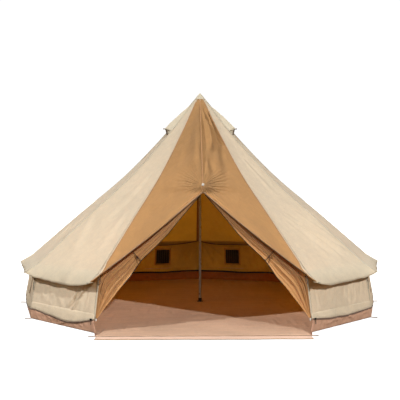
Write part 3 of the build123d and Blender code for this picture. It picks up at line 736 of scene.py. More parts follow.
# ---- tip: cap and vents
cap = Sheet("apex_cap_cloth")
ang = np.arange(0, 360, 5.0)
waves = np.cos(np.radians(ang * 12))
rings = []
for t in np.linspace(0.03, 1, 12):
    r = 0.079 * t * (1 + 0.030 * t * waves + 0.012 * t * ripple(polar(ang, t, t), 0.6, 4))
    rings.append(polar(ang, r, 3.006 - 1.19 * 0.079 * t + 0.004 * np.sin(np.pi * t) - 0.002 * t * waves))
rings.append(rings[-1] * np.array([0.985, 0.985, 1]) - UP * 0.005)
cap.patch(np.array(rings), wrap=True, flip=True)
cap.make("canvas_cream", [SEAM_CREAM], 0.0015, ("apex_cap",))

HOOD_TOP, HOOD_SIDE, HOOD_TIP = np.array([(0.0, -0.150, 2.823), (0.104, -0.450, 2.444), (0.0, -0.522, 2.484)])
hood, mouth, brim = Sheet("vent_hoods_cloth"), Sheet("vent_mouth_mesh"), Sheet("vent_hood_bindings")
v = np.linspace(-1, 1, 19)
t = column(0.02, 1, 22)
edge = HOOD_TOP + (HOOD_SIDE - HOOD_TOP) * t + np.array([0, 0.010, -0.008]) * np.sin(np.pi * t)
crest = HOOD_TOP + (HOOD_TIP - HOOD_TOP) * t + np.array([0, -0.006, 0.006]) * np.sin(np.pi * t)
HOOD = edge[:, None] + (crest - edge)[:, None] * (1 - np.abs(v) ** 1.5)[:, None]
HOOD[..., 0] = v * edge[:, :1]
base_z = 2.425 - 0.030 * (1 - v**2)
base = grid(v * 0.100, 0.004 - np.interp(base_z, roof_z[::-1], roof_r[::-1]) * HALF_COS, base_z)
for b in VENT_PANELS:
    H = HOOD + np.array([0, -1, 0.8]) * (0.0016 * ripple(HOOD, 0.09, b) * np.clip(1 - v**2, 0, 1))[..., None]
    hood.patch(turn(H, b), flip=True)
    t = np.linspace(0, 1, 6)[:, None, None]
    front = turn((H[-1] * np.array([0.96, 1, 1]) + np.array([0, 0.010, 0.002])) * (1 - t) + base * t, b)
    mouth.patch(front[:, 5:14])
    hood.patch(front[:, :6])
    hood.patch(front[:, 13:])
    brim.patch(tube(turn(H[-1], b), 0.0035), wrap=True)
hood.make("canvas_cream", [SEAM_CREAM], 0.0016, ("vent_hoods",))
mouth.make("mesh_black", [VENT_NET_BACKLIT], 0.0004, ("vent_meshes",))
brim.make("canvas_cream", [SEAM_CREAM])

# ---- walls
WIN_W, WIN_H, WIN_Z = 0.13, 0.135, 0.42
WIN_HALF = WIN_W / (2 * 2.45 * HALF_SIN)
WALL_U = breaks([0, 0.5 - WIN_HALF, 0.5 + WIN_HALF, 1], [42, 14, 42])
WALL_Z = breaks([0.136, WIN_Z - WIN_H, WIN_Z + WIN_H, WALL_TOP_Z], [10, 18, 9])
WALL_ROWS, WALL_COLS = (10, 28), (42, 56)
# Folds of a wall, across from its middle and up from the ground.
WALL_FOLDS = {
    315: ((0.015, 0.034, 0.44, 0.55, 0.31, 0.33, 0.17, 0.17),
          (0.012, -0.022, 0.36, 0.55, 0.25, 0.36, 0.12, 0.19), (0.022, 0.008, -0.28, 0.26, -0.1, 0.17),
          (0.02, 0.008, 0.5, 0.45, 0.44, 0.2), (0.03, 0.008, -0.5, 0.5, -0.35, 0.2),),
    45: ((0.013, 0.014, 0.13, 0.55, 0.09, 0.24), (0.012, 0.015, 0.22, 0.55, 0.17, 0.2),
         (0.014, 0.012, 0.33, 0.5, 0.31, 0.22), (0.022, 0.008, -0.5, 0.5, -0.46, 0.2),
         (0.02, 0.008, 0.5, 0.5, 0.46, 0.25),),
    75: ((0.025, 0.01, -0.45, 0.55, -0.3, 0.2), (0.025, 0.01, 0.45, 0.55, 0.3, 0.2),),
    105: ((0.03, 0.012, -0.3, 0.6, 0.1, 0.2), (0.025, 0.01, 0.35, 0.6, 0.25, 0.2),),
    135: ((0.03, 0.012, 0.3, 0.6, 0, 0.2), (0.025, 0.01, -0.35, 0.6, -0.25, 0.2),),
    165: ((0.022, 0.02, 0.6, 0.67, 0.47, 0.52, 0.38, 0.3), (0.02, 0.018, 0.5, 0.67, 0.34, 0.55, 0.18, 0.4),
          (0.03, 0.014, -0.5, 0.25, 0, 0.22, 0.5, 0.27), (0.025, 0.012, 0.3, 0.6, 0.42, 0.22),
          (0.025, 0.012, -0.34, 0.62, -0.4, 0.25),),
    195: ((0.022, 0.018, -0.58, 0.66, -0.5, 0.48, -0.47, 0.28),
          (0.022, 0.018, 0.2, 0.6, 0.36, 0.44, 0.56, 0.3), (0.03, 0.014, -0.5, 0.27, 0, 0.21, 0.5, 0.24),
          (0.025, 0.012, 0.34, 0.6, 0.45, 0.25), (0.025, 0.012, -0.3, 0.62, -0.42, 0.3),),
    225: ((0.03, 0.012, -0.3, 0.6, 0.05, 0.2), (0.025, 0.01, 0.35, 0.6, 0.25, 0.2),),
    255: ((0.03, 0.012, 0.25, 0.6, -0.1, 0.2), (0.025, 0.009, -0.35, 0.6, -0.3, 0.2),),
    285: ((0.025, 0.01, 0.45, 0.55, 0.3, 0.2), (0.025, 0.01, -0.45, 0.55, -0.3, 0.2),),
}


def wall_radius(z):
    return np.interp(z, (WALL_FOOT_Z, WALL_TOP_Z), (WALL_FOOT_R, WALL_TOP_R))


def wall_grid(b):
    u, Z = WALL_U[None, :], WALL_Z[:, None] * np.ones((1, len(WALL_U)))
    r = wall_radius(Z)
    P = across_panel(b, r, Z, u[..., None])
    slack = np.sin(np.pi * u) ** 0.6 * np.sin(np.pi * np.clip((Z - 0.20) / (WALL_TOP_Z - 0.20), 0, 1)) ** 0.6
    if b in WINDOW_PANELS:
        beside = np.clip((np.abs(u - 0.5) - WIN_HALF) / 0.10, 0, 1) + np.clip((np.abs(Z - WIN_Z) - WIN_H) / 0.06, 0, 1)
        slack = slack * np.clip(beside, 0, 1)
    lift = 0.012 + 0.0055 * ripple(P, (0.16, 0.16, 0.45), b) + 0.0035 * ripple(P, 0.11, b + 1)
    lift = lift + folds((u - 0.5) * 2 * r * HALF_SIN, Z, WALL_FOLDS[b], tall=1.3)
    return P + polar(b, 1.0, 0.0) * (slack * lift)[..., None]


plain, windowed = Sheet("wall_canvas"), Sheet("window_wall_canvas")
uv = grid(np.minimum(WALL_U, 1 - WALL_U) * 2 * 2.45 * HALF_SIN, WALL_Z[:, None])
in_window = lambda i, j: WALL_ROWS[0] <= i < WALL_ROWS[1] and WALL_COLS[0] <= j < WALL_COLS[1]
for b in PANELS:
    if b in WINDOW_PANELS:
        windowed.patch(wall_grid(b), uv, in_window)
    else:
        plain.patch(wall_grid(b), uv)
plain.make("canvas_cream", [CREAM_WALL_LIT, WALL_INSIDE_GLOW], CANVAS, ("wall_panels",))
windowed.make("canvas_cream", [CREAM_WALL_LIT, WALL_INSIDE_GLOW], CANVAS, ("window_wall_panels",))

corner_seams = Sheet("wall_corner_seams")
z = np.linspace(WALL_FOOT_Z, WALL_TOP_Z, 8)
for c in CORNERS:
    shape = ((-0.012, 0), (-0.010, 0.0026), (0, 0.0036), (0.010, 0.0026), (0.012, 0))
    corner_seams.patch(over_corner(polar(c, wall_radius(z), z), c, polar(c, 1.0, 0.0), shape), flip=True)
corner_seams.make("canvas_cream", [SEAM_CREAM], 0.0006)

# A dark strap hangs at each corner, behind its seam.
straps = Sheet("wall_corner_dark_straps")
k = np.linspace(0, 1, 12)
z = 0.650 - 0.290 * k
r = wall_radius(z) + 0.0065 + 0.012 * np.sin(np.pi * k) * k
half = (0.016 - 0.010 * k ** 2)[:, None]
for c in BACK_CORNERS:
    rear = 1 if c < 180 else -1
    across = polar(c + 97.5 * rear, 1.0, 0.0)
    shape = ((-1, 0.0), (-0.8, 0.0016), (0.8, 0.0016), (1, 0.0))
    straps.patch(section(polar(c, r, z) + across * 0.018, across * half, polar(c, 1.0, 0.0), shape), flip=rear > 0)
straps.make("webbing_tan", [WEB_DARK], 0.0014, weld=False)

# The walls' hem and the zip below it droop between the corners.
HEM_TOP = 0.215
# How far the hem of a front panel droops, and where it is lowest.
HEM_DROOP = {315: (0.074, 0.62), 45: (0.030, 0.45)}
HEM_T = np.linspace(0, 1, 61)[None, :]
hem, zips, zip_tapes = Sheet("wall_hem"), Sheet("wall_zip"), Sheet("wall_zip_tape")


def hem_foot(b, t):
    """The droop of the hem of panel b across it, 0 to 1, and the height of its lower edge."""
    depth, lowest = HEM_DROOP.get(b, (0.045, 0.5))
    drop = np.sin(np.pi * t ** (math.log(0.5) / math.log(lowest))) ** 1.15
    low, high = (0.158 if b == 45 else 0.128), (0.158 if b == 315 else 0.128)
    return drop, low + (high - low) * t - depth * drop + 0.003 * np.sin(np.pi * t) * np.sin(17 * t + b)


def hem_out(drop, k):
    """How far the hem stands out, k of the way down to its lower edge."""
    return 0.002 + (0.001 + 0.014 * drop) * k ** 0.8


def on_side(b, Z, out):
    """Points across panel b at heights Z, out from the side of the tent."""
    r = np.interp(Z, [0.1, WALL_FOOT_Z, HEM_TOP], [2.499, 2.497, 2.486])
    return across_panel(b, r, Z, HEM_T[..., None]) + polar(b, 1.0, 0.0) * out[..., None]


k = column(0, 1, 8)
for b in PANELS:
    drop, foot = hem_foot(b, HEM_T)
    Z = HEM_TOP + (foot - HEM_TOP) * k
    out = hem_out(drop, k) + 0.003 * np.sin(np.pi * HEM_T) * k * np.sin(26 * HEM_T + b)
    hem.patch(on_side(b, Z, out), grid(Z - foot, PANEL_WIDTH * HEM_T), flip=True)
    zips.patch(tube(on_side(b, foot - 0.006, out[-1:] + 0.003)[0], 0.0023), wrap=True)
    tape = ((0.010, -0.002), (-0.004, 0.000), (-0.016, -0.001), (-0.020, -0.004))
    zip_tapes.patch(np.array([on_side(b, foot + rise, out[-1:] + e)[0] for rise, e in tape]), flip=True)
hem.make("canvas_cream", [CREAM_WALL_LIT], 0.0022)
zips.make("zip_coil", [ZIP_COIL], replaces=("wall_zip_coils",), weld=False)
zip_tapes.make("zip_tape", [TAPE], 0.0008, ("wall_zip_tapes",))

# Inside, a strip covers the seam where the roof meets the walls; its bound edge sags between the corners.
# A dark tape covers the line where the walls stand in the groundsheet's raised side.
inside_strip, inside_tape, foot_tape = Sheet("wall_top_strip"), Sheet("wall_top_tape"), Sheet("wall_foot_tape")
t = column(0, 1, 41)
arch = np.sin(np.pi * t)
drape = np.linspace(0, 1, 7)[:, None, None]
for b in PANELS:
    inward = -polar(b, 1.0, 0.0)
    sag = 0.004 + 0.062 * arch ** 0.9 + 0.010 * np.sin(3 * np.pi * t) * ((b // 15) % 3 - 1) * arch
    top = across_panel(b, WALL_TOP_R - 0.012, 0.694, t)
    line = top - UP * sag + inward * (0.004 + 0.010 * arch)
    inside_strip.patch(top * (1 - drape) + line * drape)
    inside_tape.patch(ribbon(line, UP, inward, 0.012, 0.003), flip=True)
    line = across_panel(b, 2.4885, 0.152, t) + UP * 0.006 * arch * (np.sin(9 * t + b) - 1)
    foot_tape.patch(ribbon(line, UP, inward, 0.026, 0.0030), flip=True)
inside_strip.make("canvas_cream", [CREAM_INSIDE_GLOW], 0.0012)
inside_tape.make("binding_brown", [BINDING], 0.0008)
foot_tape.make("binding_brown", [WEB_DARK], 0.0010)


# ---- windows
def wall_point(b, x, z, off):
    """A point of the wall of panel b, x to its right and z up, off outside the canvas."""
    return turn(grid(x, -(wall_radius(z) * HALF_COS + off), z), b)


RIM = ((-0.016, 0.0), (-0.012, 0.0024), (0.000, 0.0030), (0.010, 0.0024), (0.013, 0.0))
nets, frames_in, frames_out = Sheet("window_nets"), Sheet("window_frames"), Sheet("window_outer_frames")
x, z = np.linspace(-0.132, 0.132, 13)[None, :], column(0.283, 0.557, 13)
bow = 0.004 * np.sin(np.pi * (x + 0.132) / 0.264) * np.sin(np.pi * (z - 0.283) / 0.274)
e = np.linspace(-1, 1, 8, endpoint=False)
one = np.ones(8)
round_x, round_z = np.concatenate([e, one, -e, -one]), np.concatenate([-one, e, one, -e])
for b in WINDOW_PANELS:
    nets.patch(wall_point(b, x, z, -0.0035 - bow), grid(x, z))
    for sheet, off, s in ((frames_in, -0.0020, -1), (frames_out, 0.0004, 1)):
        rim = [wall_point(b, round_x * (WIN_W + grow), round_z * (WIN_H + grow) + WIN_Z, off + s * lift)
               for grow, lift in RIM]
        sheet.patch(np.stack(rim), wrap=True, flip=s > 0)
nets.make("mesh_black", [NET], 0.0004, ("window_meshes",))
frames_in.make("webbing_tan", [FRAME_TAPE], replaces=("window_bindings",))
frames_out.make("canvas_cream", [SEAM_CREAM])

COVERS = {75: "right", 165: "rear_right", 195: "rear_left", 285: "left"}
COVER_HALF, COVER_LOW, COVER_TOP = 0.164, 0.252, 0.586
TOGGLE_X = (-0.10, 0.10)
x = np.linspace(-COVER_HALF, COVER_HALF, 23)[None, :]
z = np.append(np.linspace(COVER_LOW, 0.580, 22), COVER_TOP)[:, None]
k = (COVER_TOP - z) / (COVER_TOP - COVER_LOW)
off = (0.0095 + 0.004 * k**2 * np.sin(3 * np.pi * (x + COVER_HALF) / (2 * COVER_HALF))
       + 0.006 * k**3 * np.abs(x / COVER_HALF) ** 3 - 0.0015 * np.sin(np.pi * k))
for b, name in COVERS.items():
    body, node = f"{name}_window_cover", f"window_cover_{name}"
    right, out = turn(np.array([1.0, 0, 0]), b), turn(np.array([0, -1.0, 0]), b)
    cover = Sheet(f"{node}_cloth")
    P = wall_point(b, x * (1 - 0.01 * k), z, off)
    P = P + out * (0.0016 * ripple(P, 0.09, b) * k)[..., None]
    cover.patch(P, grid(np.minimum(COVER_HALF - np.abs(x), z - 0.250), x + z))
    cover.make("canvas_cream", [CREAM_WALL_LIT], 0.0022, (node,), body, offset=0)
    trim = Sheet(f"{node}_trim")
    trim.patch(tube(np.concatenate([P[:, 0][::-1][1:], P[0, 1:], P[1:-1, -1]]), 0.0028), wrap=True)
    trim.capped_tube(wall_point(b, np.linspace(-0.166, 0.166, 16), 0.589, 0.0090), 0.0048, 10)
    toggles = Sheet(f"{node}_toggles")
    for at in TOGGLE_X:
        strap_z = np.linspace(0.49, 0.583, 9)
        strap = wall_point(b, at, strap_z, 0.0135 + 0.004 * np.sin((strap_z - 0.49) * 40))
        trim.patch(ribbon(strap, right, out, 0.014, 0.0016))
        thick = 0.0055 * np.array([0.7, 0.95, 1, 1.05, 1, 0.95, 0.7])
        toggles.capped_tube(wall_point(b, at + np.linspace(-0.018, 0.018, 7), 0.492, 0.020), thick, 10)
    trim.make("webbing_tan", [WEB_TAN], body=body, weld=False)
    toggles.make("white_plastic", [WHITE_PLASTIC], body=body, weld=False)

# ---- groundsheet
# Folds of the raised side, across from its middle and up from the ground.
TUB_FOLDS = {
    315: ((0.016, 0.014, -0.36, 0.125, -0.22, 0.06), (0.016, 0.014, -0.02, 0.02, 0.16, 0.085),
          (0.016, 0.01, 0.3, 0.12, 0.42, 0.03),),
    45: ((0.018, 0.013, -0.42, 0.05, -0.1, 0.1), (0.018, 0.012, 0.05, 0.12, 0.25, 0.03),
         (0.015, 0.01, 0.38, 0.03, 0.52, 0.11),),
}
sides = Sheet("groundsheet_side_cloth")
z = column(0.002, TUB_TOP, 13)
u = np.linspace(0, 1, 101)[None, :]
slack = np.sin(np.pi * u) ** 0.5 * np.sin(np.pi * np.clip(z / TUB_TOP * 0.93 + 0.07, 0, 1)) ** 0.8
across, Z = np.broadcast_arrays((u - 0.5) * 1.294, z)
for b in PANELS:
    P = across_panel(b, FLOOR_RADIUS, z, u[..., None])
    lift = 0.006 + 0.007 * ripple(P, (0.13, 0.13, 0.5), b) + 0.005 * ripple(P, 0.07, b + 2)
    odd, third = (b // 15) % 2, (b // 15) % 3
    usual = ((0.017, 0.012, -0.40 + 0.1 * third, 0.12, -0.22, 0.04),
             (0.017, 0.012, 0.05, 0.03, 0.24, 0.10 - 0.02 * odd))
    lift = slack * np.maximum(lift + folds(across, Z, TUB_FOLDS.get(b, usual)), -0.006)
    # Behind the walls' hem the side lies flat against it.
    drop, foot = hem_foot(b, u)
    behind = hem_out(drop, np.clip((HEM_TOP - z) / (HEM_TOP - foot), 0, 1)) - 0.0065 * np.sin(np.pi * u) - 0.0032
    lift = np.where(z > foot - 0.014, np.minimum(lift, behind), lift)
    P = P + polar(b, 1.0, 0.0) * lift[..., None]
    sides.patch(P, grid(np.minimum(u, 1 - u) * PANEL_WIDTH, z))
# Beside the doorway the side slopes down to the front edge.
low, front = polar(30, FLOOR_RADIUS, 0.0), np.array([DOOR_X + 0.002, DOOR_Y, 0.0])
t, s = np.linspace(0, 1, 12)[:, None], np.linspace(0, 1, 9)
G = (low + (front - low) * t)[:, None] + grid(0.012 * np.sin(np.pi * s) * (1 - t) + 0.006 * np.sin(9 * t) * s, 0.0,
                                             0.004 + (TUB_TOP - 0.004) * (1 - t) ** 1.35 * s)
sides.patch(G)
sides.patch(flip_x(G), flip=True)
sides.make("groundsheet", [SHEET_SIDE_LIT, SIDE_INSIDE_GLOW], CANVAS, ("groundsheet_sides",))

# Folds of the floor, in the tent's own x and y.
FLOOR_FOLDS = (
    (0.03, 0.009, -1.0, -1.2, 0.0, -1.22, 0.9, -1.35), (0.03, 0.008, -0.6, -0.5, 0.5, -0.7, 1.6, -0.75),
    (0.03, 0.008, -1.5, 0.2, -0.2, 0.35), (0.025, 0.006, 0.1, -2.05, 1.0, -2.0),
    (0.025, 0.006, -1.05, -1.9, -0.2, -1.98), (0.03, 0.008, 0.4, 0.9, 1.6, 1.2),
    (0.03, 0.006, -0.9, -1.55, 0.3, -1.62), (0.02, 0.004, -0.5, -2.2, 0.6, -2.17))
corners = np.array([(DOOR_X, DOOR_Y), *(polar(c, FLOOR_RADIUS, 0.0)[:2] for c in CORNERS), (-DOOR_X, DOOR_Y)])
# The floor's rim: few points beside the doorway, most along its front edge.
rim = [a + (b - a) * t for a, b, n in zip(corners, np.roll(corners, -1, 0), [4] + [16] * 10 + [4, 46])
       for t in np.linspace(0, 1, n, endpoint=False)]
radii = np.append(0.004, np.linspace(0.06, 1, 46))
F = np.stack([np.pad(np.array(rim) * t, ((0, 0), (0, 1))) for t in radii])
away = np.minimum(1, (1 - radii) * 12)[:, None]
wrinkle = 0.0035 * ripple(F, 0.55, 301) + 0.0025 * ripple(F, (0.22, 0.5, 1), 302) + 0.002 * ripple(F, 0.16, 303)
F[..., 2] = 0.0032 + (np.clip(wrinkle, -0.001, 0.010) + 0.0015) * away
for one_fold in FLOOR_FOLDS:
    F[..., 2] += np.maximum(folds(F[..., 0], F[..., 1], [one_fold]), -0.001) * away
floor = Sheet("groundsheet_floor_cloth")
floor.patch(F, F[..., :2], wrap=True)
floor.make("groundsheet", [SHEET], 0.0016, ("groundsheet_floor",))

FOLD_Y, LIP_DEPTH = -2.3735, 0.166


def lip_y(x, y):
    """Across the lip, from its fold at y = 0 to its wavy front edge at y = 1."""
    return FOLD_Y - y * (LIP_DEPTH + 0.004 * np.sin(x * 5.1) + 0.003 * np.sin(x * 13 + 1))


lip = Sheet("groundsheet_lip_cloth")
x, y = np.linspace(-DOOR_X, DOOR_X, 97)[None, :], column(0, 1, 14)
Y = lip_y(x, y)
waves = np.clip(ripple(grid(x, Y, 0), (0.25, 0.12, 1), 77), -0.4, 1)
lip.patch(grid(x, Y, 0.0045 + 0.004 * waves * np.sin(np.pi * y) ** 0.5), grid(LIP_DEPTH * (1 - y), x + 2), flip=True)
lip.make("groundsheet", [SHEET_LIP], CANVAS, ("groundsheet_front_lip",), "front_lip")
xs = np.linspace(-DOOR_X, DOOR_X, 70)
piping = Sheet("groundsheet_lip_piping")
piping.capped_tube(grid(xs, lip_y(xs, 1), 0.0052), 0.0042)
piping.make("webbing_tan", [WEB_TAN], body="front_lip", weld=False)
fold_seam = Sheet("groundsheet_fold_seam")
fold_seam.capped_tube(grid(xs, FOLD_Y + 0.0012 * np.sin(xs * 31), 0.0062 + 0.0008 * np.sin(xs * 23)), 0.0028)
fold_seam.make("binding_brown", [BINDING], weld=False)

# ---- doorway flaps
# The doorway's plane: the hinge of both flaps, the way down it and its front.
PIVOT = np.array([0.0, -1.9, 1.6])
TILT = math.radians(9.7)
DOOR_N = np.array([0.0, -math.cos(TILT), math.sin(TILT)])
DOOR_DOWN = np.array([0.0, -math.sin(TILT), -math.cos(TILT)])
# Right of and down from the hinge: where the side of the cloth turns down, and its lower corner.
SIDE_TOP, SIDE_LOW = np.array([1.192, 0.925]), np.array([1.236, 1.462])
TOP_Q, HEM_Q = -0.040, 1.462
OPEN = math.radians(42.0)
FLAP_ROWS, TIE_R = np.linspace(0.04, np.hypot(*SIDE_LOW) - 0.005, 84), 1.08
# The free edge's angle when tied back, at distances from the doorway's top.
EDGE_R = [0.03, 0.30, 0.62, 0.85, 1.00, 1.08, 1.16, 1.30, 1.467, 1.60, 1.75, 1.914]
EDGE_A = np.radians([41.0, 41.0, 40.0, 41.0, 41.9, 42.0, 41.5, 40.6, 40.6, 40.3, 40.1, 39.8])


def edge_angle(r):
    """Angle from straight down at which the cloth is sewn on, at a distance from the doorway's top."""
    t = column(0, 1, 60)
    start = np.array([0.006, TOP_Q])
    before, after = SIDE_TOP + (start - SIDE_TOP) * 0.13, SIDE_TOP + (SIDE_LOW - SIDE_TOP) * 0.30
    bend = before * (1 - t) ** 2 + 2 * SIDE_TOP * t * (1 - t) + after * t * t
    x, q = np.concatenate([start + (before - start) * t, bend, after + (SIDE_LOW - after) * t]).T
    return np.interp(r, np.hypot(x, q), np.arctan2(x, q))


def door_cloth(side):
    """One door flap and the cloth beside it, drawn tied back, with each point's share of the turn that closes it."""
    s = np.linspace(0, 1, 72)[None, :]
    r = FLAP_ROWS[:, None] * np.ones((1, 72))
    outer = edge_angle(r)
    hem = np.arccos(np.clip(HEM_Q / r, -1, 1))
    closed = hem + (outer - hem) * s
    share = 1 - closed / outer
    tied = (np.interp(r, EDGE_R, EDGE_A) - hem) / np.maximum(1 - hem / outer, 1e-3)
    turned = np.clip(tied, 0, OPEN) * share
    rest = closed + turned
    depth = np.interp(r, [0.04, 0.3, 0.7, 0.98, 1.08, 1.20, 1.45, 1.70, 1.914],
                      [0.001, 0.010, 0.022, 0.018, 0.010, 0.022, 0.030, 0.016, 0.0])
    ends = np.sin(np.pi * s) ** 0.45
    at = grid(r, s * 2.2, 0)
    uneven = 1 + 0.45 * ripple(at, (0.8, 0.35, 1), 21 + side, 6)
    phase = 0.9 * np.sin(r * 2.3) + 0.8 * ripple(at, (1.3, 1.1, 1), 9 + side, 5)
    pleats = (0.62 * uneven * np.sin(2 * np.pi * 3.1 * s ** 0.85 + 2.2 * phase)
              + 0.56 * (1.4 - 0.4 * uneven) * np.sin(2 * np.pi * 6.7 * s + 2.9 * phase + 1)
              + 0.24 * np.sin(2 * np.pi * 12.3 * s + 3.3 * phase + 2))
    off = depth * pleats * ends
    # The free edge and the sewn edge stand off the doorway's plane.
    off += np.interp(r, [0.04, 0.12, 0.3, 0.6, 1.08, 1.5, 1.9],
                     [0.026, 0.020, 0.008, 0.002, 0.004, 0.030, 0.012]) * (1 - s) ** 0.7
    off += np.interp(r, [0.04, 0.12, 0.3, 0.7, 1.1, 1.3, 1.5, 1.914],
                     [0.022, 0.014, 0.004, -0.020, -0.036, -0.034, -0.006, 0.004]) * s ** 2
    P = PIVOT + grid(r * np.sin(rest), 0, 0) + DOOR_DOWN * (r * np.cos(rest))[..., None] + DOOR_N * off[..., None]
    P = P + DOOR_N * (0.002 * ripple(P, 0.06, 40 + side) * ends)[..., None]
    return flip_x(P) if side < 0 else P, turned / OPEN, grid(r * closed, r)


def swing(obj):
    """Bakes a piece's placement into its mesh."""
    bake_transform(obj)


# A strap goes round each gathered flap and is held by a toggle.
ties, tie_toggles = Sheet("door_tie_straps"), Sheet("door_tie_toggles")
TIE_ROW = int(np.argmin(np.abs(FLAP_ROWS - TIE_R)))
TOGGLE = 0.0065 * np.array([0.6, 0.85, 1, 0.95, 0.9, 0.95, 1, 0.85, 0.6])
for side, name in ((1, "right"), (-1, "left")):
    P, weight, uv = door_cloth(side)
    flap = Sheet(f"door_cloth_{name}")
    flap.patch(P, uv, flip=side < 0)
    nodes = (f"door_flap_{name}", f"door_side_{name}")
    swing(flap.make("canvas_tan", [TAN_FLAP_LIT], CANVAS, nodes, None, 0, False))
    # The flap's free edge has a zip sewn along it.
    edge_zip = Sheet(f"door_zip_{name}")
    edge_zip.patch(tube(P[:62, 0] + DOOR_N * 0.002, 0.0042), wrap=True)
    swing(edge_zip.make("zip_coil", [ZIP_COIL], body=None, weld=False))
    inner, across = P[TIE_ROW, 0], P[TIE_ROW, -1] - P[TIE_ROW, 0]
    width = np.linalg.norm(across)
    d = across / width
    a = column(0, 2 * np.pi, 40)
    loop = inner + across / 2 + d * (width / 2 + 0.002) * np.cos(a) + DOOR_N * (0.028 * np.sin(a))
    ties.patch(section(loop, np.cross(d, DOOR_N), 0, [(k * 0.006, 0) for k in (-1, -0.5, 0, 0.5, 1)]))
    knot = inner + across * 0.30
    tail = smooth_curve([knot + DOOR_N * 0.022, knot + d * 0.010 + DOOR_N * 0.034 - UP * 0.02,
                         knot + DOOR_N * 0.032 - UP * 0.075], 14)
    ties.patch(ribbon(tail, d, DOOR_N, 0.016, 0.0012))
    tie_toggles.capped_tube(knot + d * column(-0.022, 0.022, 9) + DOOR_N * 0.040, TOGGLE, 12)
ties.make("webbing_tan", [WEB_BROWN], 0.0016, ("door_ties",), weld=False)
tie_toggles.make("brown_leather", [LEATHER], weld=False)

# A strap hangs in a loop from each upper corner of the doorway.
hanging = Sheet("doorway_strap_loops")
LOOP_TOP = np.array([1.193, -2.100, 0.668])
LOOP = [(0, 0, 0), (-0.012, -0.026, -0.03), (-0.016, -0.036, -0.085), (-0.002, -0.030, -0.118),
        (0.010, -0.020, -0.085), (0.008, -0.010, -0.02)]
path = smooth_curve(LOOP_TOP + np.array(LOOP), 26)
for side in (1, -1):
    hanging.patch(ribbon(path * np.array([side, 1, 1]), (0.25 * side, -0.9, 0.1), (side, 0.25, 0), 0.016, 0.0012))
hanging.make("webbing_tan", [WEB_BROWN], 0.0012, weld=False)

# ---- tabs for guy lines and pegs
TAB_HALF, TAB_HOLE = 0.021, 0.0128


def tab(sheet, bearing, inner, centre, z, shift=(0, 0, 0)):
    """A doubled strap with a round end and a hole for its eyelet."""
    a = np.radians(np.linspace(-90, 90, 25))
    side = np.linspace(inner, centre, 8)[:-1]
    loop = np.concatenate([grid(-TAB_HALF, -side), grid(TAB_HALF * np.sin(a), -centre - TAB_HALF * np.cos(a)),
                           grid(TAB_HALF, -side[::-1]), grid(np.linspace(TAB_HALF, -TAB_HALF, 9)[1:-1], -inner)])
    ang = np.arctan2(loop[:, 1] + centre, loop[:, 0])
    hole = grid(TAB_HOLE * np.cos(ang), TAB_HOLE * np.sin(ang) - centre)
    rings = np.stack([loop * (1 - t) + hole * t for t in (0, 0.06, 0.3, 0.6, 0.94, 1)])
    sheet.patch(turn(grid(rings[..., 0], rings[..., 1], z), bearing) + np.array(shift), wrap=True)


eave_tabs, peg_tabs = Sheet("eave_tab_straps"), Sheet("peg_tab_straps")
for c in CORNERS:
    tab(eave_tabs, c, 2.535, 2.612, 0.5855)
for c in BACK_CORNERS:
    tab(peg_tabs, c, 2.503, 2.562, 0.0030)
beside = 2.505 - (DOOR_X + 0.013)
for side in (1, -1):
    tab(peg_tabs, 90 * side, 2.496, 2.562, 0.0030, (-beside * side, -2.346, 0))
eave_tabs.make("webbing_tan", [WEB_CREAM], 0.0030, ("eave_tabs",), offset=0)
peg_tabs.make("webbing_tan", [WEB_PEG], 0.0030, ("peg_tabs",), offset=0)

# ---- finishes of the pieces that keep their CAD shape
for material, nodes in (
        (STEEL, "centre_pole_lower centre_pole_middle centre_pole_upper centre_pole_finial a_frame_peak_joint "
                "a_frame_upper_left a_frame_upper_right a_frame_lower_left a_frame_lower_right"),
        (BLACK_PLASTIC, "centre_pole_foot a_frame_feet"), (WHITE_PLASTIC, "peak_cap door_corner_toggles"),
        (EYELET, "ridge_eyelet eave_eyelets peg_eyelets"), (ZIP_METAL, "zip_slider_left zip_slider_right"),
        (WEB_BROWN, "vent_stay_tips")):
    for node in nodes.split():
        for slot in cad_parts[node].material_slots:
            slot.material = material

# ---- floor, light and camera
FLOOR_EDGE, FLOOR_Z = 60, -0.004
ground = bpy.data.meshes.new("studio_floor")
square = [(x * FLOOR_EDGE, y * FLOOR_EDGE, FLOOR_Z) for x, y in ((-1, -1), (1, -1), (1, 1), (-1, 1))]
ground.from_pydata(square, [], [(0, 1, 2, 3)])
ground_obj = bpy.data.objects.new("studio_floor", ground)
bpy.context.scene.collection.objects.link(ground_obj)
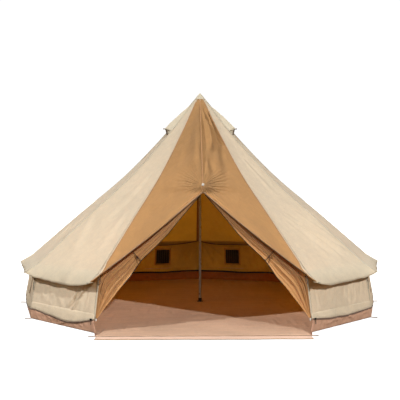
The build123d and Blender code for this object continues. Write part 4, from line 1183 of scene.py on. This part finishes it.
# The camera sees a bright floor; to the tent's shaded parts it is darker and warmer.
n = Nodes(bpy.data.materials.new("studio_floor"))
seen = n.add("AddShader", {0: n.add("BsdfDiffuse", {"Color": (0.80, 0.80, 0.80, 1)}).outputs[0],
                           1: n.add("Emission", {"Strength": 0.80}).outputs[0]}).outputs[0]
dim = n.add("BsdfDiffuse", {"Color": (0.15, 0.115, 0.065, 1)}).outputs[0]
ground.materials.append(n.finish(n.mix_shader(n.add("LightPath").outputs["Is Camera Ray"], dim, seen)))
ground_obj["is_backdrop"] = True

n = Nodes(bpy.data.worlds.new("studio"), "OutputWorld")
soft = n.add("Background", {"Color": (1.0, 0.95, 0.87, 1), "Strength": 0.14}).outputs[0]
white = n.add("Background", {"Color": (1, 1, 1, 1), "Strength": 1.05}).outputs[0]
bpy.context.scene.world = n.finish(n.mix_shader(n.add("LightPath").outputs["Is Camera Ray"], soft, white))

for name, energy, softness, towards in (
        ("key_right", 2.02, 1.4, (-1.25, 2.18, -1.60)), ("key_left", 1.85, 1.4, (1.45, 1.14, -1.60)),
        ("sky", 1.10, 60.0, (-0.1, -0.02, -1.0)), ("front", 0.18, 25.0, (0.04, 1.0, -0.18))):
    sun = bpy.data.lights.new(name, "SUN")
    sun.energy = energy
    sun.angle = math.radians(softness)
    sun.color = (1.0, 0.985, 0.955)
    sun_obj = bpy.data.objects.new(name, sun)
    sun_obj.rotation_euler = Vector(towards).to_track_quat("-Z", "Y").to_euler()
    bpy.context.scene.collection.objects.link(sun_obj)

# The photo's view: focal length in pixels of a 400-pixel frame, distance, height and tilt.
FOCAL_PX, DISTANCE, EYE_Z, LOOK_DOWN, AZIMUTH = 721, 10.38, 1.7086, 1.3201, math.radians(-1.05)
cam = bpy.data.cameras.new("camera")
cam.sensor_width = 36
cam.lens = FOCAL_PX / 400 * cam.sensor_width
cam_obj = bpy.data.objects.new("camera", cam)
bpy.context.scene.collection.objects.link(cam_obj)
cam_obj.location = (DISTANCE * math.sin(AZIMUTH), -DISTANCE * math.cos(AZIMUTH), EYE_Z)
cam_obj.rotation_euler = (math.radians(90 - LOOK_DOWN), 0, AZIMUTH)
bpy.context.scene.camera = cam_obj
bpy.context.scene.view_settings.view_transform = "Standard"

bpy.context.view_layer.update()
low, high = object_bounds()
